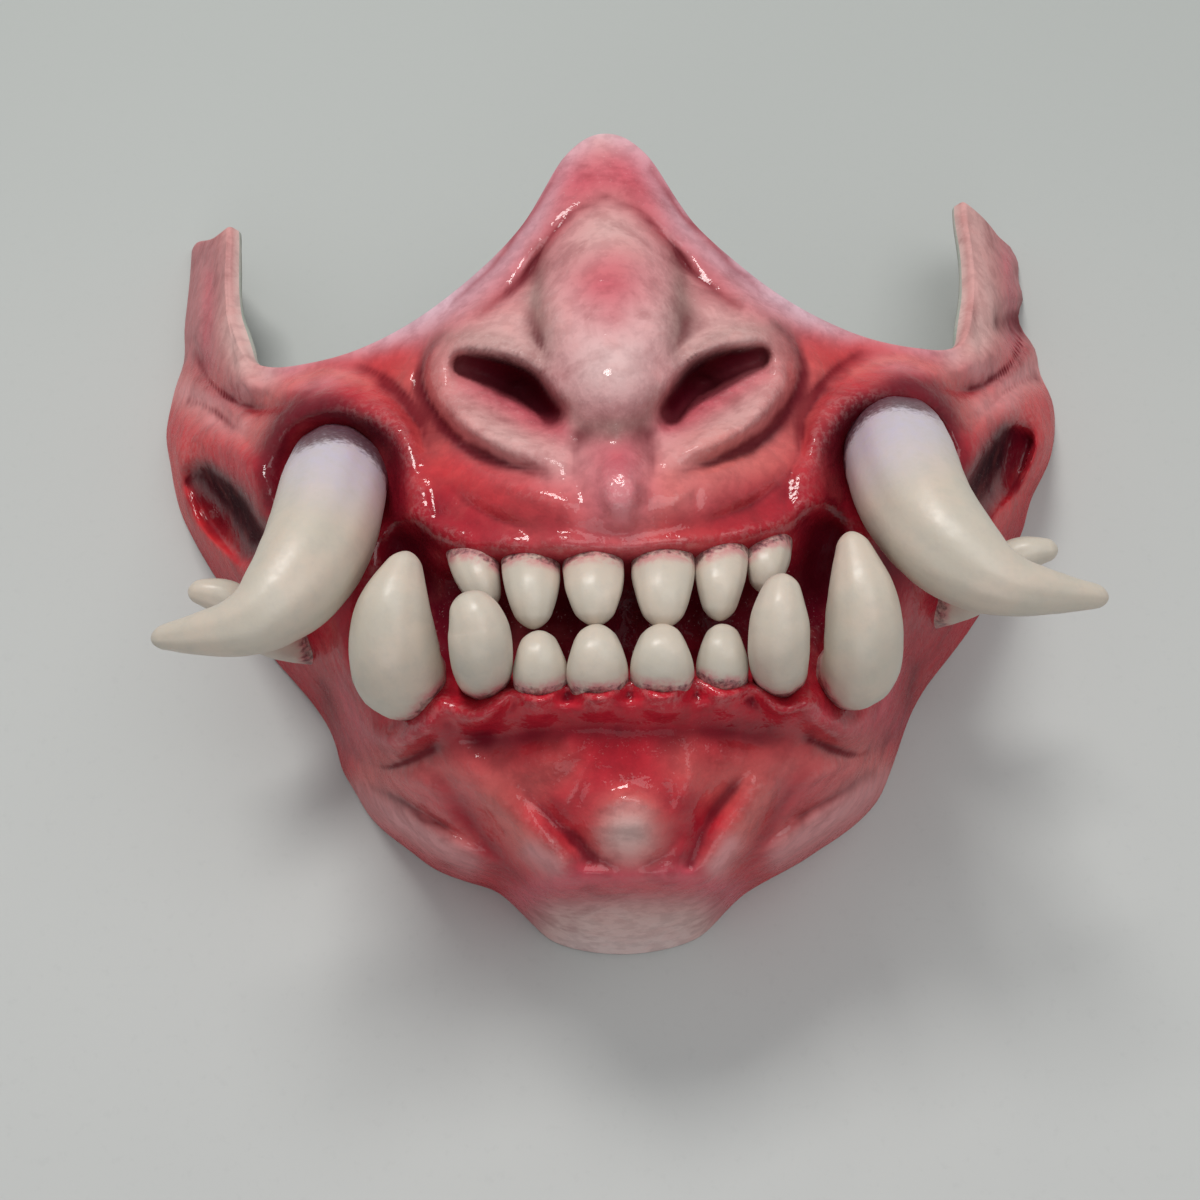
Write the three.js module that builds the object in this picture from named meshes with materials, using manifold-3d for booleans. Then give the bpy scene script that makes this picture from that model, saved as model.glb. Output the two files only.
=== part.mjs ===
// Samurai face guard: a demon-faced half mask cast in resin, lying on its back rim with the face up.
// Millimetres, +Z up, chin toward -Y, nose bridge toward +Y. The origin is the middle of the base.
//
// The face is carved as a relief. Every point of it has a place (a, b) on a portrait plane, which is
// square to the line of sight of one eye point, and a height. Cuts and swellings move a point along
// its own line to the eye, so nothing in the relief is undercut.
import * as THREE from 'three';
import { mergeVertices } from 'three/addons/utils/BufferGeometryUtils.js';
import Module from 'manifold-3d';

const wasm = await Module();
wasm.setup();

// ---- Driving dimensions -------------------------------------------------------------------------
// The relief is drawn a ninth over life size, and DRAWN_TO_REAL brings the whole mask to its real size.
const DRAWN_TO_REAL = 0.9;
const EYE_TILT = THREE.MathUtils.degToRad(65);   // the line of sight above the base plane
const EYE_DISTANCE = 290;                        // from the portrait plane's middle
const PORTRAIT_MIDDLE = new THREE.Vector3(0.58, -28.84, 40);
const WALL = 3.9;                                // thickness of the cast
const TOOTH_GAP = 0.35;                          // glue line between a tooth and the gum
const ROOT_REACH = 18;                           // depth behind the gum that is cut off a tooth's root
const COLUMN_STEPS = [3, 3, 3, 3, 2, 2, 2, 2, 2, 2, 1]; // grid columns between stations, from the middle
const ROW_STEPS = [5, 6, 6, 6, 9];               // grid rows between two rails

// ---- Materials ----------------------------------------------------------------------------------
const finish = (color, roughness) => new THREE.MeshStandardMaterial({ color, roughness, metalness: 0 });
const paintedResin = finish(0xb84a50, 0.3);
const ivoryPaint = finish(0xd8cebb, 0.3);

// ---- The portrait plane -------------------------------------------------------------------------
const sight = new THREE.Vector3(0, -Math.cos(EYE_TILT), Math.sin(EYE_TILT));
const portraitUp = new THREE.Vector3(0, Math.sin(EYE_TILT), Math.cos(EYE_TILT));
const eye = PORTRAIT_MIDDLE.clone().addScaledVector(sight, EYE_DISTANCE);

// The point at height z on the line from the eye through (a, b) of the portrait plane.
function place(a, b, z) {
  const onPlane = PORTRAIT_MIDDLE.clone().addScaledVector(portraitUp, b);
  onPlane.x += a;
  const along = (z - eye.z) / (onPlane.z - eye.z);
  return eye.clone().addScaledVector(onPlane.sub(eye), along);
}

const towardEye = (point) => eye.clone().sub(point).normalize();

// ---- The bare form: rails from the back rim to the top rim, each point [a, b, z] ----------------
// One row per station, from the middle of the chin round the jaw and cheek to the tip of the wing.
const STATIONS = [
  [[0, -66, 0], [0, -50, 47], [0, -18, 65], [0, 8, 71], [0, 30, 73], [0, 87, 63]],
  [[13, -63.5, 0], [12, -50, 46], [12, -18, 64], [12, 8, 70], [12, 30, 71], [7.5, 83, 63]],
  [[21, -56, 0], [21, -48, 40], [23, -18, 62], [24, 8, 66], [24, 30, 66], [17, 69, 62]],
  [[34, -49, 0], [32, -43, 36], [36, -20, 57], [37, 8, 59], [38, 30, 59], [32, 56, 58]],
  [[47, -39, 0], [43, -34, 32], [46, -16, 50], [49, 8, 52], [52, 26, 52], [46, 48.5, 52]],
  [[55, -21, 0], [51, -17, 30], [54, -5, 43], [57, 8, 48], [60, 25, 48], [58, 45.5, 47]],
  [[65, -8, 0], [62, -3, 23], [63, 5, 36], [65, 13, 41], [66, 27, 42], [64, 45.5, 41]],
  [[75, 7, 0], [72, 10, 19], [71, 15, 31], [70, 21, 36], [69, 32, 39], [66.5, 49, 38]],
  [[81, 20, 0], [79, 23, 17], [76, 27, 25], [73, 32, 31], [70, 40, 34], [67.5, 54, 33]],
  [[82, 35, 0], [80, 37, 11], [77, 41, 19], [74, 46, 25], [71, 52, 28], [67.5, 60, 30]],
  [[79, 52, 0], [78, 53, 7], [76, 56, 14], [73, 59, 19], [70, 62, 24], [67.5, 66, 27]],
  [[77, 65, 0], [76, 66, 6], [74, 67, 11], [72, 68, 17], [70, 69, 22], [68, 70, 25]],
];

const cubic = (p0, p1, p2, p3, t) => 0.5 * (2 * p1 + (p2 - p0) * t
  + (2 * p0 - 5 * p1 + 4 * p2 - p3) * t * t + (3 * p1 - p0 - 3 * p2 + p3) * t * t * t);

// A smooth curve through the rows of numbers in knots, read at position s, counted in knots.
function through(knots, s) {
  const last = knots.length - 1;
  const i = Math.min(Math.floor(s), last - 1);
  const [k1, k2] = [knots[i], knots[i + 1]];
  const k0 = knots[i - 1] ?? k1.map((value, n) => 2 * value - k2[n]);
  const k3 = knots[i + 2] ?? k2.map((value, n) => 2 * value - k1[n]);
  return k1.map((value, n) => cubic(k0[n], value, k2[n], k3[n], s - i));
}

const mirrored = ([a, b, z]) => [-a, b, z];
const wholeNet = [...STATIONS.slice(1).reverse().map((rails) => rails.map(mirrored)), ...STATIONS];

// ---- The relief ---------------------------------------------------------------------------------
// A stroke is a path of points [a, b, half-width, height]: height falls off with the distance from
// the path as a bell. Negative heights are cuts. twin also makes the mirror image.
const STROKES = [
  // nose: bridge, bulb, wings of the nose, nostrils
  { path: [[0, 86, 9, 2], [0, 72, 11, 8], [0, 58, 12, 14], [0, 47, 13, 20], [0, 40, 12, 17]] },
  { twin: true, path: [[16, 48, 9, 8], [24, 42, 9, 13], [20, 34, 7, 6]] },
  { twin: true, path: [[27, 46, 4, -10], [20, 42.5, 4.5, -13], [13.5, 38.5, 4, -10]] },
  { twin: true, path: [[11, 67, 4, -2], [12, 55, 4, -4]] },
  // upper lip and gum
  { path: [[-28, 19, 9, 3], [0, 18, 10, 5], [28, 19, 9, 3]] },
  { path: [[-33, 12, 3, 2.5], [-16, 9.5, 3, 3], [0, 9, 3, 3], [16, 9.5, 3, 3], [33, 12, 3, 2.5]] },
  { path: [[0, 27, 4, 2], [0, 14, 4, 3]] },
  // mouth hollow behind the teeth, and the lower gum
  { path: [[-38, -2, 9, -8], [-20, -4, 11, -10], [20, -4, 11, -10], [38, -2, 9, -8]] },
  { path: [[-33, -22, 4, 3], [-16, -20, 4, 4], [0, -20, 4, 4], [16, -20, 4, 4], [33, -22, 4, 3]] },
  // tusk sockets and their swollen rings
  {
    twin: true,
    path: [
      [65, 18, 3.5, 3], [65.5, 27, 4, 5], [61.5, 35, 4, 6.5],
      [53, 38, 4, 7], [43, 35, 4, 6], [37.5, 27.5, 4, 5],
    ],
  },
  { twin: true, path: [[51.5, 24, 9.4, -5]] },
  // gum collars of the outer canines
  { twin: true, path: [[52, -10, 3.5, 3], [50, -21, 3.5, 4], [43, -25, 3.5, 4], [35, -21, 3.5, 3]] },
  { twin: true, path: [[42, -14, 6, -3]] },
  // mouth corners, cut deep into the cheeks; the right one stands higher
  { path: [[75, 27, 4, -8], [71.5, 21, 4.5, -10], [67, 15, 4, -8]] },
  {
    path: [
      [67, 27, 3, 2], [70.5, 33, 3, 3], [76, 35, 3, 4],
      [80.5, 30, 3, 4], [80, 22, 3, 3], [76, 14, 3, 2],
    ],
  },
  { path: [[-77, 24, 4, -8], [-73, 18, 4.5, -10], [-68, 12, 4, -8]] },
  {
    path: [
      [-65, 22, 3, 2], [-69, 28, 3, 3], [-76, 32, 3, 4],
      [-81.5, 29, 3, 4], [-81, 21, 3, 3], [-77, 13, 3, 2],
    ],
  },
  // chin boss, lobes and jaw rolls
  { path: [[0, -42, 6, 5]] },
  { twin: true, path: [[24, -36, 4, 3], [16, -47, 4, 3]] },
  { twin: true, path: [[44, -37, 4, 3], [30, -45, 4, 3]] },
  // raised strip along the wing
  { twin: true, path: [[76, 40, 3, 1.5], [75, 60, 2.5, 1.5]] },
];

// Where the mask's outline differs from side to side: [a, b, reach, shift of a, shift of b] moves the
// bare form sideways in a bell round (a, b).
const NUDGES = [
  [78, 57, 4, -1.8, 0], [77, 49, 5, -4.2, 0], [77.5, 54.2, 2, 1.2, 0], [80, 40, 4, -1.8, 0],
  [81, 16, 7, -2.6, 0], [73, 7, 5, -1, 0], [77, 66, 5, -2.5, -1], [67.5, 70, 4, -1.6, 2.5],
  [-66, 60, 6, -3, 0], [-67, 69, 4, -2, 2], [-77, 66, 4, 0, 2.6], [-78, 46, 4, 1.2, 0],
  [-83, 33, 5, -0.8, 0], [-52, -30, 4, -0.6, -0.5], [-34, -46, 5, -0.6, -0.8], [-24, -53, 4, 0.4, 0.6],
  [33, -48, 5, 0.6, 0.4], [47, -40, 4, 0.4, 0.2], [22, -60, 4, 1.4, 0], [-22, -60, 4, -1, 0],
];

// The place (a, b) with every nudge done to it, one after another.
function nudged(a, b) {
  return NUDGES.reduce(([x, y], [atA, atB, reach, shiftA, shiftB]) => {
    const bell = Math.exp(-((x - atA) ** 2 + (y - atB) ** 2) / reach ** 2);
    return [x + shiftA * bell, y + shiftB * bell];
  }, [a, b]);
}

const reflected = (stroke) => ({ path: stroke.path.map(([a, b, width, height]) => [-a, b, width, height]) });
const RELIEF = STROKES.flatMap((stroke) => (stroke.twin ? [stroke, reflected(stroke)] : [stroke]));

// What one stroke adds at (a, b): the bell of the nearest point of its path, widened by spread.
function strokeHeight({ path }, a, b, spread) {
  let best = { ratio: Infinity, height: 0 };
  const legs = Math.max(path.length - 1, 1);
  for (let i = 0; i < legs; i += 1) {
    const [p, q] = [path[i], path[i + 1] ?? path[i]];
    const [da, db] = [q[0] - p[0], q[1] - p[1]];
    const length2 = da * da + db * db || 1;
    const t = THREE.MathUtils.clamp(((a - p[0]) * da + (b - p[1]) * db) / length2, 0, 1);
    const width = THREE.MathUtils.lerp(p[2], q[2], t) + spread;
    const ratio = Math.hypot(a - p[0] - t * da, b - p[1] - t * db) / width;
    if (ratio < best.ratio) best = { ratio, height: THREE.MathUtils.lerp(p[3], q[3], t) };
  }
  return best.height * Math.exp(-best.ratio * best.ratio);
}

const reliefHeight = (a, b) => RELIEF.reduce((sum, stroke) => sum + strokeHeight(stroke, a, b, 0), 0);

// The hollow side follows less than half of each swelling, and goes round each cut with a wall to spare.
const HOLLOW_SHARE = 0.45;

function hollowHeight(a, b) {
  let swelling = 0;
  let cut = 0;
  RELIEF.forEach((stroke) => {
    swelling += Math.max(strokeHeight(stroke, a, b, 0), 0);
    cut += Math.min(strokeHeight(stroke, a, b, WALL / 2), 0);
  });
  return Math.min(HOLLOW_SHARE * swelling, swelling + cut);
}

// ---- The shell ----------------------------------------------------------------------------------
// Positions along a net, counted in its knots, with the given number of steps between knots.
function positionsFor(steps) {
  const positions = [0];
  steps.forEach((count, knot) => {
    for (let i = 1; i <= count; i += 1) positions.push(knot + i / count);
  });
  return positions;
}

const stationPositions = positionsFor([...COLUMN_STEPS.slice().reverse(), ...COLUMN_STEPS]);
const railPositions = positionsFor(ROW_STEPS);
const columns = stationPositions.length;
const rows = railPositions.length;

// The relief fades out toward every edge, so the rim keeps its own line.
function edgeFade(stationPosition, railPosition) {
  const side = Math.min(stationPosition, wholeNet.length - 1 - stationPosition);
  const ends = Math.min(railPosition / 0.5, (STATIONS[0].length - 1 - railPosition) / 0.25);
  return THREE.MathUtils.smoothstep(Math.min(side, ends), 0, 1);
}

const bare = [];
for (let j = 0; j < rows; j += 1) {
  const rail = wholeNet.map((rails) => through(rails, railPositions[j]));
  for (let i = 0; i < columns; i += 1) {
    const [railA, railB, z] = through(rail, stationPositions[i]);
    const [a, b] = nudged(railA, railB);
    const fade = edgeFade(stationPositions[i], railPositions[j]);
    bare.push({ a, b, fade, point: place(a, b, j === 0 ? 0 : z) });
  }
}

const at = (i, j) => j * columns + i;

function gridNormals(points) {
  return points.map((_, n) => {
    const [i, j] = [n % columns, Math.floor(n / columns)];
    const across = points[at(Math.min(i + 1, columns - 1), j)].clone().sub(points[at(Math.max(i - 1, 0), j)]);
    const along = points[at(i, Math.min(j + 1, rows - 1))].clone().sub(points[at(i, Math.max(j - 1, 0))]);
    return across.cross(along).normalize();
  });
}

const lifted = (height) => bare.map(({ a, b, fade, point }) => (
  point.clone().addScaledVector(towardEye(point), height(a, b) * fade)));

const outer = lifted(reliefHeight);
const hollowForm = lifted(hollowHeight);
const hollowNormals = gridNormals(hollowForm);

// Near the base the wall is measured level, so that the rim stays flat on the base plane.
const LEVEL_BELOW = 14;
const inner = hollowForm.map((point, n) => {
  const inward = hollowNormals[n].clone();
  inward.z *= THREE.MathUtils.smoothstep(point.z, 0, LEVEL_BELOW);
  return point.clone().addScaledVector(inward.normalize(), -WALL);
});

// A closed body between two grids of points, the front one facing out.
function bodyBetween(front, back) {
  const positions = [...front, ...back].flatMap(({ x, y, z }) => [x, y, z]);
  const shift = front.length;
  const index = [];
  const quad = (p, q, r, s) => index.push(p, q, r, p, r, s);
  for (let j = 0; j < rows - 1; j += 1) {
    for (let i = 0; i < columns - 1; i += 1) {
      const corners = [at(i, j), at(i + 1, j), at(i + 1, j + 1), at(i, j + 1)];
      quad(...corners);
      quad(...corners.map((corner) => corner + shift).reverse());
    }
  }
  const edge = [];
  for (let i = 0; i < columns - 1; i += 1) edge.push(at(i, 0));
  for (let j = 0; j < rows - 1; j += 1) edge.push(at(columns - 1, j));
  for (let i = columns - 1; i > 0; i -= 1) edge.push(at(i, rows - 1));
  for (let j = rows - 1; j > 0; j -= 1) edge.push(at(0, j));
  edge.forEach((from, n) => {
    const to = edge[(n + 1) % edge.length];
    quad(from, from + shift, to + shift, to);
  });
  const geometry = new THREE.BufferGeometry();
  geometry.setAttribute('position', new THREE.Float32BufferAttribute(positions, 3));
  geometry.setIndex(index);
  return geometry;
}

// ---- Teeth --------------------------------------------------------------------------------------
// path: points [a, b, z] from the root to the tip. radii: [across, deep], evenly spaced along it.
// The rings are closed by a point at each end, and they don't twist: the tip's ring faces the eye,
// and each ring toward the root is the one before it, turned square to the path.
const RING = 12;
const TOOTH_ROWS = 9;

function toothGeometry({ path, radii }) {
  const curve = new THREE.CatmullRomCurve3(path.map(([a, b, z]) => place(a, b, z)));
  const tip = curve.getPoint(1);
  const root = curve.getPoint(0);
  const across = curve.getTangent(1).cross(towardEye(tip));
  const positions = [tip.x, tip.y, tip.z, root.x, root.y, root.z];
  const [tipIndex, rootIndex, firstRing] = [0, 1, 2];
  const index = [];
  for (let k = 0; k < TOOTH_ROWS; k += 1) {
    const t = Math.cos(((k + 1) / TOOTH_ROWS) * Math.PI / 2);
    const centre = curve.getPoint(t);
    const tangent = curve.getTangent(t);
    across.addScaledVector(tangent, -across.dot(tangent)).normalize();
    const deep = across.clone().cross(tangent);
    const [wide, thick] = through(radii, t * (radii.length - 1));
    for (let i = 0; i < RING; i += 1) {
      const angle = (i / RING) * 2 * Math.PI;
      const point = centre.clone().addScaledVector(across, wide * Math.cos(angle))
        .addScaledVector(deep, thick * Math.sin(angle));
      positions.push(point.x, point.y, point.z);
      const next = (i + 1) % RING;
      const [p, q] = [firstRing + k * RING + i, firstRing + k * RING + next];
      if (k === 0) index.push(tipIndex, q, p);
      else index.push(p - RING, q - RING, p, p, q - RING, q);
      if (k === TOOTH_ROWS - 1) index.push(p, q, rootIndex);
    }
  }
  const geometry = new THREE.BufferGeometry();
  geometry.setAttribute('position', new THREE.Float32BufferAttribute(positions, 3));
  geometry.setIndex(index);
  return geometry;
}

function solidOf(geometry) {
  const plain = geometry.clone();
  plain.deleteAttribute('normal');
  plain.deleteAttribute('uv');
  const merged = mergeVertices(plain, 1e-4);
  return new wasm.Manifold(new wasm.Mesh({
    numProp: 3,
    vertProperties: Float32Array.from(merged.attributes.position.array),
    triVerts: Uint32Array.from(merged.index.array),
  }));
}

function geometryOf(solid) {
  const mesh = solid.getMesh();
  const geometry = new THREE.BufferGeometry();
  geometry.setAttribute('position', new THREE.BufferAttribute(Float32Array.from(mesh.vertProperties), 3));
  geometry.setIndex(Array.from(mesh.triVerts));
  geometry.computeVertexNormals();
  return geometry;
}

// What a root may not enter: the gum's face, moved out by the glue line, and all that lies behind it.
const outerNormals = gridNormals(outer);
const gumFront = outer.map((point, n) => point.clone().addScaledVector(outerNormals[n], TOOTH_GAP));
const gumBack = gumFront.map((point) => point.clone().addScaledVector(towardEye(point), -ROOT_REACH));
const behindGum = solidOf(bodyBetween(gumFront, gumBack));

const TUSK_LEFT = {
  path: [[-50, 30, 44], [-52, 22, 60], [-55, 12, 70], [-61, 3, 75], [-70, -3, 76], [-86.5, -5, 72]],
  radii: [[9.2, 9.2], [9.4, 9.2], [9, 8.8], [7.6, 7.4], [5, 5], [1.6, 1.6]],
};
const TUSK_RIGHT = {
  path: [[51, 34, 44], [53, 26, 60], [56.5, 15, 70], [64, 6, 75], [74, 0.5, 76], [91, -2, 72]],
  radii: [[9.4, 9.4], [9.7, 9.4], [9.2, 9], [7.6, 7.4], [4.9, 4.8], [1.6, 1.6]],
};
const SIDE_FANG_LEFT = {
  path: [[-55, -6, 22], [-65, -4, 36], [-72.5, 2, 44], [-79.5, 4, 46]],
  radii: [[5, 5], [4.6, 4.6], [3.6, 3.6], [1.6, 1.6]],
};
const SIDE_FANG_RIGHT = {
  path: [[55, -3, 22], [66, 0, 36], [74.5, 6, 44], [82, 7.5, 46]],
  radii: [[5, 5], [4.6, 4.6], [3.6, 3.6], [1.6, 1.6]],
};
// The canines differ a little from side to side.
const OUTER_CANINE_LEFT = {
  path: [[-36, -13, 40], [-40.5, -13, 61], [-41.5, -2, 71], [-38.5, 10, 73]],
  radii: [[6, 6], [8.2, 7.4], [7, 6.4], [2, 2]],
};
const OUTER_CANINE_RIGHT = {
  path: [[39, -15, 40], [44.5, -14, 61], [45.5, -2, 71], [43.5, 11.5, 73]],
  radii: [[5.6, 5.6], [7, 6.8], [6.4, 6], [2, 2]],
};
const INNER_CANINE_LEFT = {
  path: [[-25, -15, 52], [-25.3, -11, 70], [-26, -4, 76], [-28.5, 2, 77]],
  radii: [[4, 4], [4.9, 4.6], [4.8, 4.2], [2.4, 2]],
};
const INNER_CANINE_RIGHT = {
  path: [[30, -16, 52], [29.7, -11.5, 70], [30, -4, 76], [31, 4, 77]],
  radii: [[4.2, 4.2], [4.8, 4.8], [4.6, 4.2], [2, 2]],
};

// Small teeth: [name, a of the neck, a of the tip, b of the neck, b of the tip, half-width].
const LOWER_INCISORS = [
  ['lower_incisor_1', -14.6, -14.8, -14.5, -5.9, 4.4],
  ['lower_incisor_2', -4, -4, -14.5, -5.4, 4.9],
  ['lower_incisor_3', 8, 8, -14.5, -6.2, 5.1],
  ['lower_incisor_4', 19.2, 19.4, -14.5, -5.6, 4.2],
];
const UPPER_TEETH = [
  ['upper_tooth_1', -27.2, -23.6, 9.5, -1.2, 4.1],
  ['upper_tooth_2', -15.8, -15.6, 7.5, -4.9, 4.8],
  ['upper_tooth_3', -4.2, -4, 7, -4.4, 5],
  ['upper_tooth_4', 8.8, 8.4, 7.5, -5.2, 5.2],
  ['upper_tooth_5', 19.6, 18.8, 9, -4.4, 4.5],
  ['upper_tooth_6', 28.6, 27, 10, 0.6, 3.9],
];
const GUM_ARC_MIDDLE = 71;                       // height of the teeth's line in the middle
const GUM_ARC_BEND = 0.009;
// Half-width, as a share of the widest, and depth, from the root to the tip.
const SMALL_TOOTH_SHARES = [
  [0.8, 3], [0.9, 3.2], [0.97, 3.4], [1, 3.4], [0.97, 3.3], [0.86, 3], [0.68, 2.4], [0.42, 1.5],
];

// A small tooth is widest just past the neck and drawn in to a blunt point.
function smallTooth(neckA, tipA, neck, tip, halfWidth) {
  const z = GUM_ARC_MIDDLE - GUM_ARC_BEND * neckA * neckA;
  const intoGum = Math.sign(neck - tip);
  const middleA = THREE.MathUtils.lerp(neckA, tipA, 0.42);
  const middle = THREE.MathUtils.lerp(neck, tip, 0.42);
  return {
    path: [
      [neckA, neck + 0.5 * intoGum, z - 14],
      [neckA, neck + 0.6 * intoGum, z - 4],
      [middleA, middle, z + 1],
      [tipA, tip, z],
    ],
    radii: SMALL_TOOTH_SHARES.map(([share, deep]) => [share * halfWidth, deep]),
  };
}

const teeth = [
  ['tusk_left', TUSK_LEFT],
  ['tusk_right', TUSK_RIGHT],
  ['side_fang_left', SIDE_FANG_LEFT],
  ['side_fang_right', SIDE_FANG_RIGHT],
  ['outer_canine_left', OUTER_CANINE_LEFT],
  ['outer_canine_right', OUTER_CANINE_RIGHT],
  ['inner_canine_left', INNER_CANINE_LEFT],
  ['inner_canine_right', INNER_CANINE_RIGHT],
  ...LOWER_INCISORS.map(([name, ...size]) => [name, smallTooth(...size)]),
  ...UPPER_TEETH.map(([name, ...size]) => [name, smallTooth(...size)]),
];

// ---- Assembly -----------------------------------------------------------------------------------
const mask = new THREE.Group();
mask.name = 'face_guard';
mask.scale.setScalar(DRAWN_TO_REAL);

function add(name, geometry, material) {
  const mesh = new THREE.Mesh(geometry, material);
  mesh.name = name;
  mask.add(mesh);
}

add('shell', bodyBetween(outer, inner), paintedResin);
teeth.forEach(([name, shape]) => {
  const pieces = solidOf(toothGeometry(shape)).subtract(behindGum).decompose();
  const crown = pieces.sort((p, q) => q.volume() - p.volume())[0];
  add(name, geometryOf(crown), ivoryPaint);
});

export default mask;
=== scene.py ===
"""Samurai face guard: a demon-faced half mask of painted casting resin, lying on its back rim."""
import math

import bpy
import numpy as np
from bpy.props import FloatProperty, FloatVectorProperty, PointerProperty
from mathutils import Matrix, Vector


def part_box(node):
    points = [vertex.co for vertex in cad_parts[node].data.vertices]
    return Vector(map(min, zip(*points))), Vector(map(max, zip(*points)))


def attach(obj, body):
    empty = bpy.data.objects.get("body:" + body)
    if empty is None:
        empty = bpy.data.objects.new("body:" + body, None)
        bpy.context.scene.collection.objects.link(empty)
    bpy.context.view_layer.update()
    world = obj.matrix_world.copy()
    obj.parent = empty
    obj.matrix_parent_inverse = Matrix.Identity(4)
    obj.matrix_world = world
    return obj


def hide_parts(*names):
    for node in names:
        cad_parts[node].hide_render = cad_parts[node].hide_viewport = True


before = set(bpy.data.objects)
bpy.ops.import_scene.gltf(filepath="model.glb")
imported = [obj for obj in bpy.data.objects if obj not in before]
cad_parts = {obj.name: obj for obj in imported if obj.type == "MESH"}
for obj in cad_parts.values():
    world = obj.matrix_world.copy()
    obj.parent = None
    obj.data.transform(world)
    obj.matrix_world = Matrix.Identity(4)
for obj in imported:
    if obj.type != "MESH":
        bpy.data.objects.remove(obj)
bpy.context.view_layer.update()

bl_info = {
    "name": "Face Guard",
    "version": (1, 0, 0),
    "blender": (4, 5, 0),
    "location": "View3D > Sidebar > Face Guard",
    "description": "Sculpts and paints a demon-faced half mask round the packed frame",
    "category": "Mesh",
}

TEETH = sorted(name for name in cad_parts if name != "shell")


# ---- Sizes and colours a user would change ------------------------------------------------------
class FaceGuardSizes(bpy.types.PropertyGroup):
    """Sizes of the relief, in the millimetres it is drawn in."""
    eye_tilt: FloatProperty(name="Eye tilt", description="Line of sight above the table",
                            default=math.radians(65), subtype="ANGLE")
    eye_distance: FloatProperty(name="Eye distance", description="From the eye to the portrait plane",
                                default=290.0, min=150.0)
    middle_height: FloatProperty(name="Middle height",
                                 description="Portrait plane's middle above the table",
                                 default=40.0)
    middle_x: FloatProperty(name="Middle across", description="Portrait plane's middle across the face",
                            default=0.58)
    middle_y: FloatProperty(name="Middle along", description="Portrait plane's middle along the face",
                            default=-28.84)
    wall: FloatProperty(name="Wall", description="Thickness of the cast", default=3.9, min=1.0)
    rim_radius: FloatProperty(name="Rim radius", description="Rounding of the sanded rim", default=1.1)
    level_below: FloatProperty(name="Level below",
                               description="Height under which the wall is measured level",
                               default=14.0)
    grain: FloatProperty(name="Hand unevenness", description="Depth of the sculptor's unevenness",
                         default=0.28, min=0.0)


class FaceGuardColours(bpy.types.PropertyGroup):
    """Paint colours, linear."""
    inside: FloatVectorProperty(name="Bare resin", description="Unpainted resin behind the face",
                                subtype="COLOR", size=3, default=(0.33, 0.36, 0.31))
    ivory: FloatVectorProperty(name="Ivory", description="Body of the teeth", subtype="COLOR", size=3,
                               default=(0.54, 0.48, 0.40))
    table: FloatVectorProperty(name="Table", description="Floor under the mask", subtype="COLOR", size=3,
                               default=(0.50, 0.505, 0.49))


# ---- The portrait plane -------------------------------------------------------------------------
# Every point of the relief has a place (a, b) on a plane square to one line of sight, and a height z.
# Cuts and swellings move it along its own line to the eye, so nothing is undercut.
class Portrait:
    """Places points by where the eye sees them and how high they lie, in drawn millimetres."""

    def __init__(self, sizes):
        tilt = sizes.eye_tilt
        self.sight = np.array([0.0, -math.cos(tilt), math.sin(tilt)])
        self.up = np.array([0.0, math.sin(tilt), math.cos(tilt)])
        self.middle = np.array([sizes.middle_x, sizes.middle_y, sizes.middle_height])
        self.eye = self.middle + self.sight * sizes.eye_distance

    def place(self, abz):
        """Point at height z on the line from the eye through (a, b) of the plane."""
        a, b, z = abz[..., 0:1], abz[..., 1:2], abz[..., 2]
        on_plane = self.middle + a * np.array([1.0, 0.0, 0.0]) + b * self.up
        along = (z - self.eye[2]) / (on_plane[..., 2] - self.eye[2])
        return self.eye + (on_plane - self.eye) * along[..., None]

    def seen(self, points):
        """(a, b) at which the eye sees the points, and how far off along the line of sight they are."""
        away = points - self.eye
        depth = -(away @ self.sight)
        grown = self.sight @ (self.eye - self.middle) / depth
        return away[..., 0] * grown, (away @ self.up) * grown, depth

    def toward_eye(self, points):
        """Unit vectors from the points to the eye."""
        return unit(self.eye - points)


def unit(vectors):
    """Vectors scaled to length one."""
    length = np.linalg.norm(vectors, axis=-1, keepdims=True)
    return vectors / np.maximum(length, 1e-12)


def smoothstep(x, low, high):
    """0 below low, 1 above high, and 3t^2 - 2t^3 between."""
    t = np.clip((x - low) / (high - low), 0.0, 1.0)
    return t * t * (3.0 - 2.0 * t)


def through(knots, positions):
    """Cubic curve through the knots, read at positions counted in knots.

    Between knots 1 and 2 it is half of 2k1 + (k2 - k0)t + (2k0 - 5k1 + 4k2 - k3)t^2
    + (3k1 - k0 - 3k2 + k3)t^3, with the end knots repeated by straight extension.
    """
    knots = np.asarray(knots, float)
    positions = np.asarray(positions, float)
    run = np.concatenate([2 * knots[:1] - knots[1:2], knots, 2 * knots[-1:] - knots[-2:-1]])
    i = np.minimum(positions.astype(int), len(knots) - 2)
    t = (positions - i).reshape(positions.shape + (1,) * (knots.ndim - 1))
    k0, k1, k2, k3 = run[i], run[i + 1], run[i + 2], run[i + 3]
    return 0.5 * (2 * k1 + (k2 - k0) * t + (2 * k0 - 5 * k1 + 4 * k2 - k3) * t ** 2
                  + (3 * k1 - k0 - 3 * k2 + k3) * t ** 3)


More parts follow.
